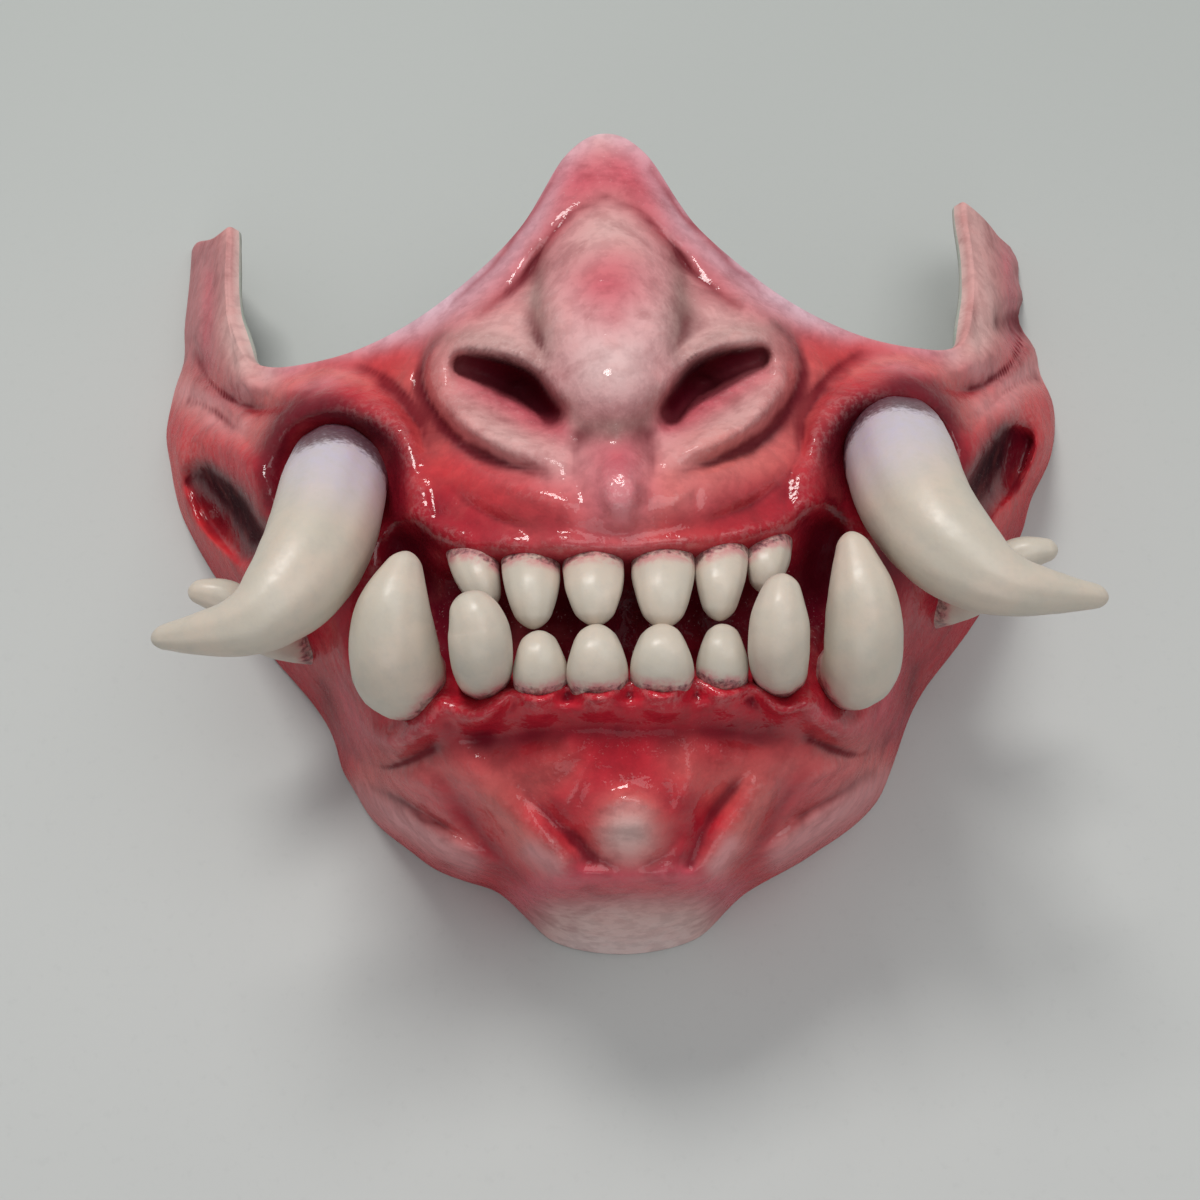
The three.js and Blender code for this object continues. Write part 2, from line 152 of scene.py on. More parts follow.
# ---- The bare form ------------------------------------------------------------------------------
# Rails from the back rim to the top rim, each point (a, b, z); one row per station, from the middle
# of the chin round the jaw and cheek to the tip of the wing. They repeat the CAD part's.
STATIONS = [
    [(0, -66, 0), (0, -50, 47), (0, -18, 65), (0, 8, 71), (0, 30, 73), (0, 87, 63)],
    [(13, -63.5, 0), (12, -50, 46), (12, -18, 64), (12, 8, 70), (12, 30, 71), (7.5, 83, 63)],
    [(21, -56, 0), (21, -48, 40), (23, -18, 62), (24, 8, 66), (24, 30, 66), (17, 69, 62)],
    [(34, -49, 0), (32, -43, 36), (36, -20, 57), (37, 8, 59), (38, 30, 59), (32, 56, 58)],
    [(47, -39, 0), (43, -34, 32), (46, -16, 50), (49, 8, 52), (52, 26, 52), (46, 48.5, 52)],
    [(55, -21, 0), (51, -17, 30), (54, -5, 43), (57, 8, 48), (60, 25, 48), (58, 45.5, 47)],
    [(65, -8, 0), (62, -3, 23), (63, 5, 36), (65, 13, 41), (66, 27, 42), (64, 45.5, 41)],
    [(75, 7, 0), (72, 10, 19), (71, 15, 31), (70, 21, 36), (69, 32, 39), (66.5, 49, 38)],
    [(81, 20, 0), (79, 23, 17), (76, 27, 25), (73, 32, 31), (70, 40, 34), (67.5, 54, 33)],
    [(82, 35, 0), (80, 37, 11), (77, 41, 19), (74, 46, 25), (71, 52, 28), (67.5, 60, 30)],
    [(79, 52, 0), (78, 53, 7), (76, 56, 14), (73, 59, 19), (70, 62, 24), (67.5, 66, 27)],
    [(77, 65, 0), (76, 66, 6), (74, 67, 11), (72, 68, 17), (70, 69, 22), (68, 70, 25)],
]
COLUMN_STEPS = [15, 14, 15, 17, 18, 18, 16, 13, 12, 11, 9]
ROW_STEPS = [48, 46, 34, 30, 54]
EDGE_STEPS = 4
EDGE_SHARE = 0.6


def positions_for(steps):
    """Places along a net counted in its knots, crowded together at both ends for the rounded rim."""
    places = [knot + i / count for knot, count in enumerate(steps) for i in range(count)]
    places.append(float(len(steps)))
    first = EDGE_SHARE * (places[2] - places[0]) * np.linspace(0, 1, EDGE_STEPS + 1)[1:-1] ** 1.5
    last = places[-1] - EDGE_SHARE * (places[-1] - places[-3]) * np.linspace(0, 1,
                                                                             EDGE_STEPS + 1)[1:-1] ** 1.5
    grid = np.unique(np.round(np.concatenate([places, first, last]), 6))
    return grid if len(grid) % 2 else np.delete(grid, len(grid) // 2)


def whole_net():
    """The stations of both sides, left to right, as an array of station, rail and (a, b, z)."""
    right = np.array(STATIONS, float)
    left = right[:0:-1] * np.array([-1.0, 1.0, 1.0])
    return np.concatenate([left, right])


# ---- The relief ---------------------------------------------------------------------------------
# A stroke is (sharpness, [(a, b, half-width, height), ...]): height times exp(-(distance/width)^sharpness)
# from the nearest place on a smooth path. Sharpness 1.3 is a crease, 2 a bell, 4 a flat with steep sides.
def twin(*strokes):
    """The strokes and their mirror images."""
    return [(sharp, [(side * a, b, w, h) for a, b, w, h in path]) for sharp,
            path in strokes for side in (-1, 1)]


NOSE = [
    (2.2, [(0, 85, 9, 1), (0, 73, 11, 5), (0, 64, 11, 5)]),
    (4.5, [(0.3, 58, 12, 6), (0.3, 50, 12.6, 8), (0.3, 43.5, 11.6, 8)]),
    (2.0, [(0, 53, 9, 3.5), (0, 44, 8, 5)]),
] + twin(
    (3.2, [(15, 52, 8, 5), (24, 46, 9, 10), (24, 38, 7.5, 9), (17, 33, 6, 6)]),
)
NOSTRILS = twin(
    (3.6, [(27, 44.4, 2.5, -5), (21, 42.6, 3, -8), (15.5, 39.4, 3.1, -9), (11.3, 34.8, 2.4, -7)]),
    (2.6, [(27, 41.4, 3.8, -5), (21, 38.2, 4.8, -8), (14.4, 33.8, 4, -7)]),
    (1.8, [(29, 48, 1.8, 0.8), (21.5, 47.5, 2, 1.6), (14.5, 44, 1.9, 1.6), (9.5, 38, 1.6, 0.8)]),
    (2.0, [(32, 44, 2, 1.2), (30.5, 37.5, 2, 1.8), (25, 31.5, 2, 2.2), (18, 28.5, 2, 2.2), (10, 26, 2, 1)]),
    (1.5, [(35, 47, 1.6, -0.8), (34.5, 39, 1.7, -2), (28, 30, 1.7, -2), (20, 25.5, 1.6, -1.6),
           (11, 23, 1.5, -0.4)]),
)
BRIDGE = twin(
    (1.5, [(12, 66, 2, 0), (13.6, 58, 2.6, -2.6), (13.4, 51, 2.4, -2.6), (12.6, 45, 1.8, -1)]),
    (1.9, [(0, 79, 3, 1.0), (6, 76.5, 3, 1.6), (12, 70.5, 2.8, 2.2), (18, 63, 2.6, 2.2),
           (25, 56.5, 2.4, 1.2)]),
    (1.4, [(0, 74.5, 1.4, -0.7), (6, 72, 1.4, -1.6), (11, 66.5, 1.4, -2.4), (16, 59.5, 1.4, -2.2),
           (24, 53, 1.4, -0.8)]),
    (1.4, [(3, 83, 1.3, -1), (8.5, 79.5, 1.4, -2), (14.5, 71.5, 1.4, -2.2), (21, 63.5, 1.4, -2),
           (28, 57, 1.4, -1.2),
           (37, 51.5, 1.3, -0.4)]),
    (1.6, [(25, 55, 1.6, 1), (34, 51, 1.6, 1.8), (43, 48, 1.6, 1.4), (50, 46, 1.5, 0.5)]),
    (1.4, [(36, 47, 1.5, 0.6), (38, 41, 1.5, 1.4), (36, 35, 1.5, 0.6)]),
) + [
    (1.3, [(9, 66, 1.2, 0), (12.5, 62, 1.3, -1.2), (15, 57, 1.2, 0)]),
    (1.4, [(9, 84, 1.2, 0), (15, 76, 1.3, -1), (22, 67, 1.3, -1), (30, 60.5, 1.2, 0)]),
]
LIP = [
    (2.4, [(-29, 20, 9, 4), (-12, 20, 9, 4.5), (12, 20, 9, 4.5), (29, 20, 9, 4)]),
    (2.2, [(0.5, 30, 4, 2.5), (1, 22, 4, 2.8), (1.5, 15, 3, 1.2)]),
    (2.6, [(-37, 15, 2.6, 1.6), (-31, 12.6, 2.4, 2.4), (-25, 10.4, 2.2, 1.8), (-20, 10.6, 2.4, 2.6),
           (-15.5, 9.6, 2.2, 1.8),
           (-10, 10.2, 2.4, 2.6), (-4, 9.2, 2.2, 1.8), (2, 8.8, 2.4, 2.6), (8, 9.6, 2.2, 1.8),
           (14, 10, 2.4, 2.6),
           (19, 10.6, 2.2, 1.8), (24.5, 11.6, 2.4, 2.6), (30, 13, 2.3, 2.2), (35, 16, 2.6, 1.6)]),
    (1.5, [(-26, 26, 1.6, 0), (-18, 21, 1.8, 1.2), (-8, 16, 1.6, 0)]),
    (1.5, [(-21, 25, 1.4, 0), (-14, 21, 1.5, 1), (-6, 17, 1.4, 0)]),
    (1.5, [(26, 27, 1.6, 0), (17, 22, 1.8, 1.2), (8, 16, 1.6, 0)]),
    (1.4, [(21, 25, 1.4, 0), (15, 20, 1.5, -1.2), (16, 14, 1.4, 0)]),
    (1.4, [(-33, 25, 1.5, 0), (-27, 18.5, 1.6, -1.4), (-19, 14.5, 1.5, -1), (-12, 14, 1.4, 0)]),
    (1.4, [(33, 24, 1.5, 0), (28, 18.5, 1.6, -1.4), (20, 15, 1.5, -0.8), (13, 14, 1.4, 0)]),
    (1.4, [(-38, 30, 1.2, 0), (-35, 24, 1.3, -1.3), (-33, 17, 1.3, -1), (-35, 12, 1.2, 0)]),
    (1.4, [(34, 34, 1.2, 0), (35, 28, 1.3, -1.5), (32, 20, 1.3, -1.2), (33, 13, 1.2, 0)]),
    (1.5, [(2.5, 24, 1.2, 0.6), (3, 20, 1.3, 1.2), (2.5, 16.5, 1.2, 0.4)]),
    (1.5, [(-1, 23, 1.1, 0.4), (-1, 19.5, 1.2, 0.9), (0, 16.5, 1.1, 0.3)]),
] + twin(
    (1.5, [(6.5, 30, 1.5, -0.6), (7, 25, 1.8, -1.2), (6, 18, 1.8, -0.6)]),
)
MOUTH = [
    (4.0, [(-36, -3, 11, -9), (-18, -4, 11, -10), (18, -4, 11, -10), (36, -3, 11, -9)]),
    (2.0, [(-32, -18.5, 2.0, 3), (-26, -20.6, 1.9, 4.6), (-20, -16.4, 1.9, 5.4), (-14.8, -17.9, 1.9, 5.4),
           (-9.5, -15, 1.9, 5.6), (-4, -17.8, 1.9, 5.4), (2, -15, 1.9, 5.8), (8, -18, 1.9, 5.4),
           (14, -15.2, 1.9, 5.8), (19.4, -17.9, 1.9, 5.4), (25, -16.6, 1.9, 5.4), (30, -21, 1.9, 4.6),
           (36, -19, 2.0, 3)]),
    (2.2, [(-34, -22, 3, 1.5), (-15, -20, 3, 3), (8, -20, 3, 3), (34, -22.5, 3, 1.5)]),
    (1.5, [(-19, -19.6, 1.0, 0.5), (-15, -21, 1.1, 1.2), (-10, -19.2, 1.0, 0.6), (-4, -20.8, 1.1, 1.3),
           (2, -19, 1.0, 0.6), (8, -21, 1.1, 1.4), (14, -19.2, 1.0, 0.6), (19, -20.8, 1.1, 1.2),
           (24, -20, 1.0, 0.4)]),
    (2.0, [(-36, -28.5, 2.6, -0.4), (-26, -25.5, 3.4, -1.6), (-16, -24.5, 3, -0.8), (-8, -24, 2.6, 0)]),
    (2.0, [(12, -24, 2.6, 0), (20, -25, 3.2, -1.2), (28, -27, 3.2, -1.4), (36, -29.5, 2.6, -0.4)]),
] + twin(
    (3.0, [(39, 10, 4.5, -6), (37, 0, 4.5, -3)]),
    (2.0, [(30, -13, 2.2, 1.5), (36, -12, 2.4, 2.2), (36, -2, 2, 1)]),
)
SOCKETS = twin(
    (2.4, [(65, 18, 3.4, 3), (65.5, 27, 3.6, 5.5), (61.5, 35, 4, 7.4), (53, 38, 4.4, 8.4), (43, 35, 3.8, 7),
           (37.5, 27.5, 3.6, 5.4),
           (37, 19, 3.6, 3)]),
    (4.0, [(51.5, 24, 9.4, -5)]),
    (1.4, [(60, 42, 1.2, 0.5), (53, 43.6, 1.3, 1.1), (46, 41.5, 1.2, 0.8)]),
    (1.4, [(38, 20, 1.5, 0), (35, 29, 1.6, -1.6), (39, 39, 1.6, -1.4), (48, 46, 1.4, -0.4)]),
)
CANINE_COLLARS = twin(
    (2.0, [(51.5, -6, 2.4, 1.4), (52, -15, 2.4, 3.8), (49, -22, 2.4, 5), (43, -25.5, 2.4, 5.2),
           (36.5, -22.5, 2.4, 4.4),
           (33, -15, 2.2, 2)]),
    (4.0, [(42.5, -13, 6.5, -3)]),
    (1.4, [(55, -10, 1.3, 0), (54.8, -18, 1.4, -2.2), (51.4, -26, 1.5, -2.8), (44, -29.8, 1.5, -3),
           (35, -26.8, 1.5, -2)]),
)
CHEEKS = [
    (4.0, [(75, 27, 3, -8), (71.5, 21, 4, -12), (67, 15, 3.8, -9)]),
    (2.0, [(67, 27, 2.2, 1), (70.5, 33, 2.6, 3), (76, 35, 3, 4), (80.5, 30, 3, 4), (80, 22, 2.8, 3.2),
           (76, 14, 2.6, 2.2),
           (70, 7, 2.4, 1)]),
    (4.0, [(-77, 24, 3, -8), (-73, 18, 4, -12), (-68, 12, 3.8, -9)]),
    (2.0, [(-65, 22, 2.2, 1.6), (-69, 28, 2.6, 3.4), (-76, 32, 3, 4.2), (-81.5, 29, 3, 4),
           (-81, 21, 2.8, 3.2), (-77, 13, 2.6, 2.2),
           (-70, 5, 2.4, 1)]),
    (1.6, [(-79, 17, 1.2, 1.6), (-75, 13, 1.3, 1.8), (-71, 9, 1.2, 1.2)]),
    (1.6, [(73, 16, 1.4, 1.8), (70, 13, 1.3, 1.6)]),
] + twin(
    (1.6, [(83, 38, 1.6, -1), (77, 39, 1.8, -3.2), (71, 35, 1.7, -3), (67, 30, 1.4, -1)]),
    (2.0, [(74, 60, 2.2, 1.2), (73, 50, 2.4, 2.8), (69, 43, 2.4, 3.6), (61, 41.5, 2.2, 3.2),
           (54, 44, 2, 1)]),
    (1.6, [(77, 49, 1.4, -1.6), (73.5, 41.5, 1.6, -4.2), (66, 37.2, 1.5, -3.6), (59, 38.5, 1.2, -0.6)]),
    (1.8, [(79, 46, 1.8, 1.2), (76, 41.5, 1.8, 2.6), (71, 38, 1.6, 2.2)]),
)
CHIN = [
    (2.4, [(1, -42.5, 6.2, 3.6), (1, -44.5, 5, 1.4)]),
    (1.6, [(-4.5, -39, 1.2, 0.7), (1, -36.8, 1.4, 1.5), (6, -39, 1.2, 0.7)]),
    (2.0, [(-8, -37, 2, -0.4), (-8, -44, 2.2, -1.8), (-2, -49.5, 1.8, -1.2), (4, -49.5, 1.8, -1.2),
           (10, -44, 2.2, -1.8),
           (10.5, -37, 2, -0.4)]),
    (2.2, [(-30, -28, 3.2, 1.2), (-24, -35, 3.6, 2.6), (-18, -42, 3.8, 3.6), (-12, -48, 3.4, 3)]),
    (2.2, [(25, -36, 3.2, 2.8), (21, -43, 3.4, 3.8), (17, -50, 3, 3.2)]),
    (2.0, [(-36, -30, 2.2, -0.6), (-30, -37, 2.6, -2.6), (-24, -45, 2.6, -3), (-19, -51, 2, -1.2)]),
    (2.0, [(-17, -36, 1.8, -0.4), (-12.5, -41, 2, -1.6), (-7, -48, 1.8, -0.6)]),
    (2.0, [(22, -34, 1.8, -0.6), (15.5, -41, 2.2, -2.4), (12, -49, 1.8, -1.6)]),
    (2.0, [(33, -32, 2.2, -0.6), (28, -41, 2.6, -2.8), (23, -49, 2.2, -2)]),
    (1.5, [(28, -35, 1.0, 0.6), (25.6, -42, 1.1, 1.1), (21, -50, 1.0, 0.6)]),
    (2.0, [(-4, -26, 3, 0.4), (-12, -29.5, 3.2, 1.6), (-20, -30, 3, 1)]),
    (1.6, [(-6, -30, 1.5, 0.4), (-8.5, -34, 1.6, 1.2), (-11, -39, 1.5, 0.5)]),
    (1.6, [(12, -28, 1.6, 0.4), (12.5, -34, 1.8, 1.6), (11, -40, 1.6, 0.6)]),
    (1.6, [(9.5, -33, 1.0, 0.4), (10.5, -37, 1.0, 0.9), (9, -41, 1.0, 0.4)]),
    (2.0, [(15, -28, 2.4, 0.6), (23, -30, 2.8, 1.4), (31, -30, 2.4, 0.6)]),
    (2.0, [(-21, -55, 2.2, 0.8), (-12, -52, 2.4, 2.2), (0, -51.4, 2.4, 2.4), (12, -52, 2.4, 2.2),
           (21, -55.5, 2.2, 0.8)]),
    (2.0, [(-13, -58.5, 2.6, -1), (0, -58.5, 3, -1.4), (13, -58.5, 2.6, -1)]),
]
JAW = twin(
    (2.0, [(51, -30, 2.4, 1.4), (46, -36.5, 2.8, 3.6), (38, -41, 2.8, 3.8), (30, -46, 2.6, 2.6),
           (25, -49, 2.2, 0.8)]),
    (1.4, [(48, -32, 1.4, -0.8), (41, -36, 1.6, -3), (33, -41, 1.6, -3), (27, -45, 1.4, -0.6)]),
    (1.7, [(52, -25, 1.8, 0.6), (45, -31, 2, 2.2), (38, -33, 2, 2.2), (30, -36, 1.8, 0.6)]),
    (1.6, [(62, -8, 2, 0.6), (60, -14, 2, 1.8), (56, -20, 2, 1.8), (54, -26, 2, 0.8)]),
) + [
    (1.5, [(44, -43, 1.3, 0), (38, -45.5, 1.4, -1.4), (32, -49, 1.3, 0)]),
    (1.5, [(-46, -40, 1.3, 0), (-38, -45, 1.4, -1.2), (-31, -49, 1.3, 0)]),
]
WINGS = twin(
    (2.2, [(80, 40, 2, 0.8), (78.5, 47, 2.2, 2), (77, 56, 2, 2.2), (76, 65, 1.8, 1.8)]),
    (1.4, [(77, 42, 1.2, -0.6), (75, 50, 1.3, -1.8), (73.5, 58, 1.3, -2), (73, 67, 1.2, -1.4)]),
    (1.8, [(71, 52, 1.5, 1), (70.5, 60, 1.5, 1.4), (70.5, 68, 1.3, 1)]),
) + [
    (2.4, [(77.5, 53.5, 2, 2.4)]),
    (2.4, [(76, 60.5, 2.2, 1.8)]),
    (2.2, [(-82, 40, 2.2, 1.8)]),
]
RELIEF = NOSE + NOSTRILS + BRIDGE + LIP + MOUTH + SOCKETS + CANINE_COLLARS + CHEEKS + CHIN + JAW + WINGS
# Each nudge is (a, b, reach, shift of a, shift of b): it moves the bare form sideways in a bell round (a, b),
# for what differs between the two sides of the outline.
NUDGES = [
    (78, 57, 4, -1.8, 0), (77, 49, 5, -4.2, 0), (77.5, 54.2, 2, 1.2, 0), (80, 40, 4, -1.8, 0),
    (81, 16, 7, -2.6, 0), (73, 7, 5, -1.0, 0), (77, 66, 5, -2.5, -1), (67.5, 70, 4, -1.6, 2.5),
    (-67, 71, 6, -1.9, 1.5), (-67, 65, 6, -2.0, 0), (-67, 59, 6, -2.0, 0), (-67, 53, 6, -1.9, 0),
    (-66, 47, 5, -1.2, 0), (-77, 66, 4, 0, 2.6), (-78, 46, 4, 1.2, 0),
    (-83, 33, 5, -0.8, 0), (-52, -30, 4, -0.6, -0.5), (-34, -46, 5, -0.6, -0.8), (-24, -53, 4, 0.4, 0.6),
    (33, -48, 5, 0.6, 0.4), (47, -40, 4, 0.4, 0.2), (22, -60, 4, 1.4, 0), (-22, -60, 4, -1.0, 0),
]
REACH = 2.6


def nudged(abz):
    """The bare form's places with every nudge done to them, one after another."""
    abz = np.array(abz, float)
    for at_a, at_b, reach, shift_a, shift_b in NUDGES:
        bell = np.exp(-((abz[..., 0] - at_a) ** 2 + (abz[..., 1] - at_b) ** 2) / reach ** 2)
        abz[..., 0] += shift_a * bell
        abz[..., 1] += shift_b * bell
    return abz


def nearest_on_path(path, a, b, spread=0.0):
    """Distance over half-width to the nearest place on the path, and the path's last value there.

    Each leg's nearest place is its foot of the perpendicular, held to the leg's ends.
    """
    path = np.asarray(path, float)
    if len(path) > 1:
        path = through(path, np.linspace(0, len(path) - 1, 5 * (len(path) - 1) + 1))
    best = np.full(a.shape, np.inf)
    value = np.zeros(a.shape)
    starts, ends = (path[:-1], path[1:]) if len(path) > 1 else (path, path)
    for p, q in zip(starts, ends):
        leg = q[:2] - p[:2]
        t = ((a - p[0]) * leg[0] + (b - p[1]) * leg[1]) / max(leg @ leg, 1e-9)
        t = np.clip(t, 0.0, 1.0)
        width = p[2] + (q[2] - p[2]) * t + spread
        ratio = np.hypot(a - p[0] - t * leg[0], b - p[1] - t * leg[1]) / width
        closer = ratio < best
        best = np.where(closer, ratio, best)
        value = np.where(closer, p[3] + (q[3] - p[3]) * t, value)
    return best, value


def laid_strokes(strokes, a, b, spread=0.0):
    """The height that each stroke adds at (a, b), one flat array after another, with its sharpness bell."""
    for sharp, path in strokes:
        low = np.min([(p[0] - REACH * (p[2] + spread), p[1] - REACH * (p[2] + spread)) for p in path],
                     axis=0)
        high = np.max([(p[0] + REACH * (p[2] + spread), p[1] + REACH * (p[2] + spread)) for p in path],
                      axis=0)
        near = np.flatnonzero((a > low[0]) & (a < high[0]) & (b > low[1]) & (b < high[1]))
        ratio, value = nearest_on_path(path, a[near], b[near], spread)
        yield near, value * np.exp(-ratio ** sharp)


def relief(a, b):
    """Sum of the strokes' heights at each (a, b)."""
    height = np.zeros(a.shape)
    for near, added in laid_strokes(RELIEF, a, b):
        height[near] += added
    return height


HOLLOW_SHARE = 0.45


def hollow_relief(a, b, wall):
    """Height of the hollow side: a share of the swellings, and round each cut with a wall to spare."""
    swelling = np.zeros(a.shape)
    cut = np.zeros(a.shape)
    for near, added in laid_strokes(RELIEF, a, b):
        swelling[near] += np.maximum(added, 0.0)
    for near, added in laid_strokes(RELIEF, a, b, wall / 2):
        cut[near] += np.minimum(added, 0.0)
    return np.minimum(HOLLOW_SHARE * swelling, swelling + cut)


def grain(points, size, seed):
    """Smooth noise from -1 to 1: random values at the corners of a lattice, blended inside each cell."""
    places = points / size
    cell = np.floor(places).astype(np.int64)
    f = places - cell
    f = f * f * (3.0 - 2.0 * f)
    total = np.zeros(points.shape[:-1])
    for corner in np.ndindex(2, 2, 2):
        key = (cell + corner) @ np.array([73856093, 19349663, 83492791]) + seed * 2654435
        key = (key ^ (key >> 13)) * 1274126177 & 0x7FFFFFFF
        key = (key ^ (key >> 16)) % 65536
        weight = np.prod(np.where(corner, f, 1.0 - f), axis=-1)
        total += weight * (key / 32767.5 - 1.0)
    return total


# ---- The shell ----------------------------------------------------------------------------------
def edge_fade(u, v, stations, rails):
    """0 along every edge of the shell and 1 inside, so the rim keeps its own line."""
    side = np.minimum(u, stations - 1 - u)[:, None]
    ends = np.minimum(v / 0.5, (rails - 1 - v) / 0.25)[None, :]
    return smoothstep(np.minimum(side, ends), 0.0, 1.0)


def net_normals(points):
    """Outward unit normals: the step along the stations crossed with the step along the rails."""
    return unit(np.cross(np.gradient(points, axis=0), np.gradient(points, axis=1)))


def rounded_rim(points, normals, radius):
    """Draws a face in along its normals near its edges, by radius less the height of a quarter circle."""
    gaps = [np.linalg.norm(points - edge, axis=-1)
            for edge in (points[:1], points[-1:], points[:, :1], points[:, -1:])]
    short = np.clip(radius - np.min(gaps, axis=0), 0.0, None)
    drop = radius - np.sqrt(radius ** 2 - short ** 2)
    moved = points - normals * drop[..., None]
    moved[..., 2] = np.maximum(moved[..., 2], 0.0)
    return moved


def shell_faces(sizes, portrait):
    """The shell's painted face and its hollow side, as grids of points, with the places (a, b) they show at.

    The bare form is the smooth net of stations and rails. The painted face is the bare form moved toward
    the eye by the relief and out along its normals by the hand's unevenness. The hollow side is the bare
    form moved toward the eye by the hollow relief, less one wall along its normals.
    """
    net = whole_net()
    u = positions_for(COLUMN_STEPS[::-1] + COLUMN_STEPS)
    v = positions_for(ROW_STEPS)
    rails = through(net, u)
    abz = through(np.swapaxes(rails, 0, 1), v).swapaxes(0, 1)
    abz[:, 0, 2] = 0.0
    abz = nudged(abz)
    a, b = abz[..., 0], abz[..., 1]
    bare = portrait.place(abz)
    outward = portrait.toward_eye(bare)
    fade = edge_fade(u, v, len(net), net.shape[1])

    height = (relief(a.ravel(), b.ravel()).reshape(a.shape) * fade)[..., None]
    face = bare + outward * height
    normals = net_normals(face)
    unevenness = grain(face, 8.0, 1) + 0.5 * grain(face, 3.6, 2) + 0.2 * grain(face, 1.5, 3)
    face = face + normals * (sizes.grain * unevenness * (0.25 + 0.75 * fade))[..., None]

    hollow = hollow_relief(a.ravel(), b.ravel(), sizes.wall).reshape(a.shape) * fade
    back = bare + outward * hollow[..., None]
    level = net_normals(back)
    level[..., 2] *= smoothstep(back[..., 2], 0.0, sizes.level_below)
    level = unit(level)
    back = (back - level * sizes.wall)[::2, ::2]
    back[..., 2] = np.maximum(back[..., 2], 0.0)

    face = rounded_rim(face, normals, sizes.rim_radius)
    back = rounded_rim(back, -level[::2, ::2], sizes.rim_radius)
    return face, back, a, b


def rim_loop(numbers):
    """Vertex numbers round the edge of a net, once, seen from outside and turning left."""
    return np.concatenate([numbers[:-1, 0], numbers[-1, :-1], numbers[:0:-1, -1], numbers[0, :0:-1]])


def quads(numbers):
    """Four-sided faces between neighbouring places of a net of vertex numbers."""
    corners = [numbers[:-1, :-1], numbers[1:, :-1], numbers[1:, 1:], numbers[:-1, 1:]]
    return np.stack(corners, axis=-1).reshape(-1, 4)


def closed_shell(face, back):
    """Vertices and faces of the wall: the face, the coarser back turned round, and a rim that joins them.

    Each back step spans two face steps, so the rim has three triangles per back vertex.
    """
    front = np.arange(face.shape[0] * face.shape[1]).reshape(face.shape[:2])
    rear = front.size + np.arange(back.shape[0] * back.shape[1]).reshape(back.shape[:2])
    o = rim_loop(front)
    i = rim_loop(rear)
    o0, o1, o2 = o[0::2], o[1::2], np.roll(o, -2)[0::2]
    i0, i1 = i, np.roll(i, -1)
    rim = np.concatenate([np.stack(t, axis=-1) for t in ((o1, o0, i0), (o1, i0, i1), (o2, o1, i1))])
    points = np.concatenate([face.reshape(-1, 3), back.reshape(-1, 3)])
    return points, quads(front), quads(rear)[:, ::-1], rim


# ---- The teeth ----------------------------------------------------------------------------------
# Each tooth is (path of (a, b, z), radii across and deep), from its root inside the gum to its tip.
HORNS = {
    "tusk_left": ([(-50.5, 27, 36), (-52, 21.5, 60), (-55, 12, 70), (-61, 3, 75), (-70, -3, 76),
                   (-86.5, -5, 72)],
                  [(9.2, 9.2), (9.4, 9.2), (9, 8.8), (7.6, 7.4), (5, 5), (1.6, 1.6)]),
    "tusk_right": ([(51.5, 29.5, 36), (53, 24.5, 60), (56.5, 15, 70), (64, 6, 75), (74, 0.5, 76),
                    (91, -2, 72)],
                   [(9.4, 9.4), (9.7, 9.4), (9.2, 9), (7.6, 7.4), (4.9, 4.8), (1.6, 1.6)]),
    "side_fang_left": ([(-55, -6, 22), (-65, -4, 36), (-72.5, 2, 44), (-79.5, 4, 46)],
                       [(5, 5), (4.6, 4.6), (3.6, 3.6), (1.6, 1.6)]),
    "side_fang_right": ([(55, -3, 22), (66, 0, 36), (74.5, 6, 44), (82, 7.5, 46)],
                        [(5, 5), (4.6, 4.6), (3.6, 3.6), (1.6, 1.6)]),
    "outer_canine_left": ([(-36, -13, 40), (-40.5, -13, 61), (-41.5, -2, 71), (-38.5, 10, 73)],
                          [(5.6, 5.6), (7.5, 7), (6.5, 6), (2, 2)]),
    "outer_canine_right": ([(39, -15, 40), (44.5, -14, 61), (45.5, -2, 71), (43.5, 11.5, 73)],
                           [(5, 5), (6.3, 6.2), (5.9, 5.6), (2, 2)]),
    "inner_canine_left": ([(-25, -15, 52), (-25.3, -11, 70), (-26, -4, 76), (-28.5, 2, 77)],
                          [(4, 4), (4.9, 4.6), (4.8, 4.2), (2.4, 2)]),
    "inner_canine_right": ([(30, -16, 52), (29.7, -11.5, 70), (30, -4, 76), (31, 4, 77)],
                           [(4.2, 4.2), (4.8, 4.8), (4.6, 4.2), (2, 2)]),
}
# Each small tooth is (a at the neck, a at the tip, neck b, tip b, half-width).
LOWER_INCISORS = [(-14.6, -14.8, -14.5, -5.6, 4.5), (-4, -4, -14.5, -4.6, 5.0), (8, 8, -14.5, -4.8, 5.2),
                  (19.2, 19.4, -14.5, -5.2, 4.3)]
UPPER_TEETH = [(-27.2, -23.6, 9.5, -1.2, 4.2), (-15.8, -15.6, 7.5, -5, 4.9), (-4.2, -4, 7, -4.8, 5.1),
               (8.8, 8.4, 7.5, -5.6, 5.3), (19.6, 18.8, 9, -4.4, 4.6), (28.6, 27, 10, 0.6, 4.0)]
# The small teeth stand on a gum arc, whose height falls with the square of a.
GUM_ARC_MIDDLE = 71.0
GUM_ARC_BEND = 0.009
TOOTH_RING = 44
TOOTH_ROWS = 60
# The rounded end of a tooth is this many tip radii long.
TIP_ROUNDING = 1.5
# A root reaches no deeper than this under the painted face, so that it stays out of the hollow side.
ROOT_DEPTH = 3.0
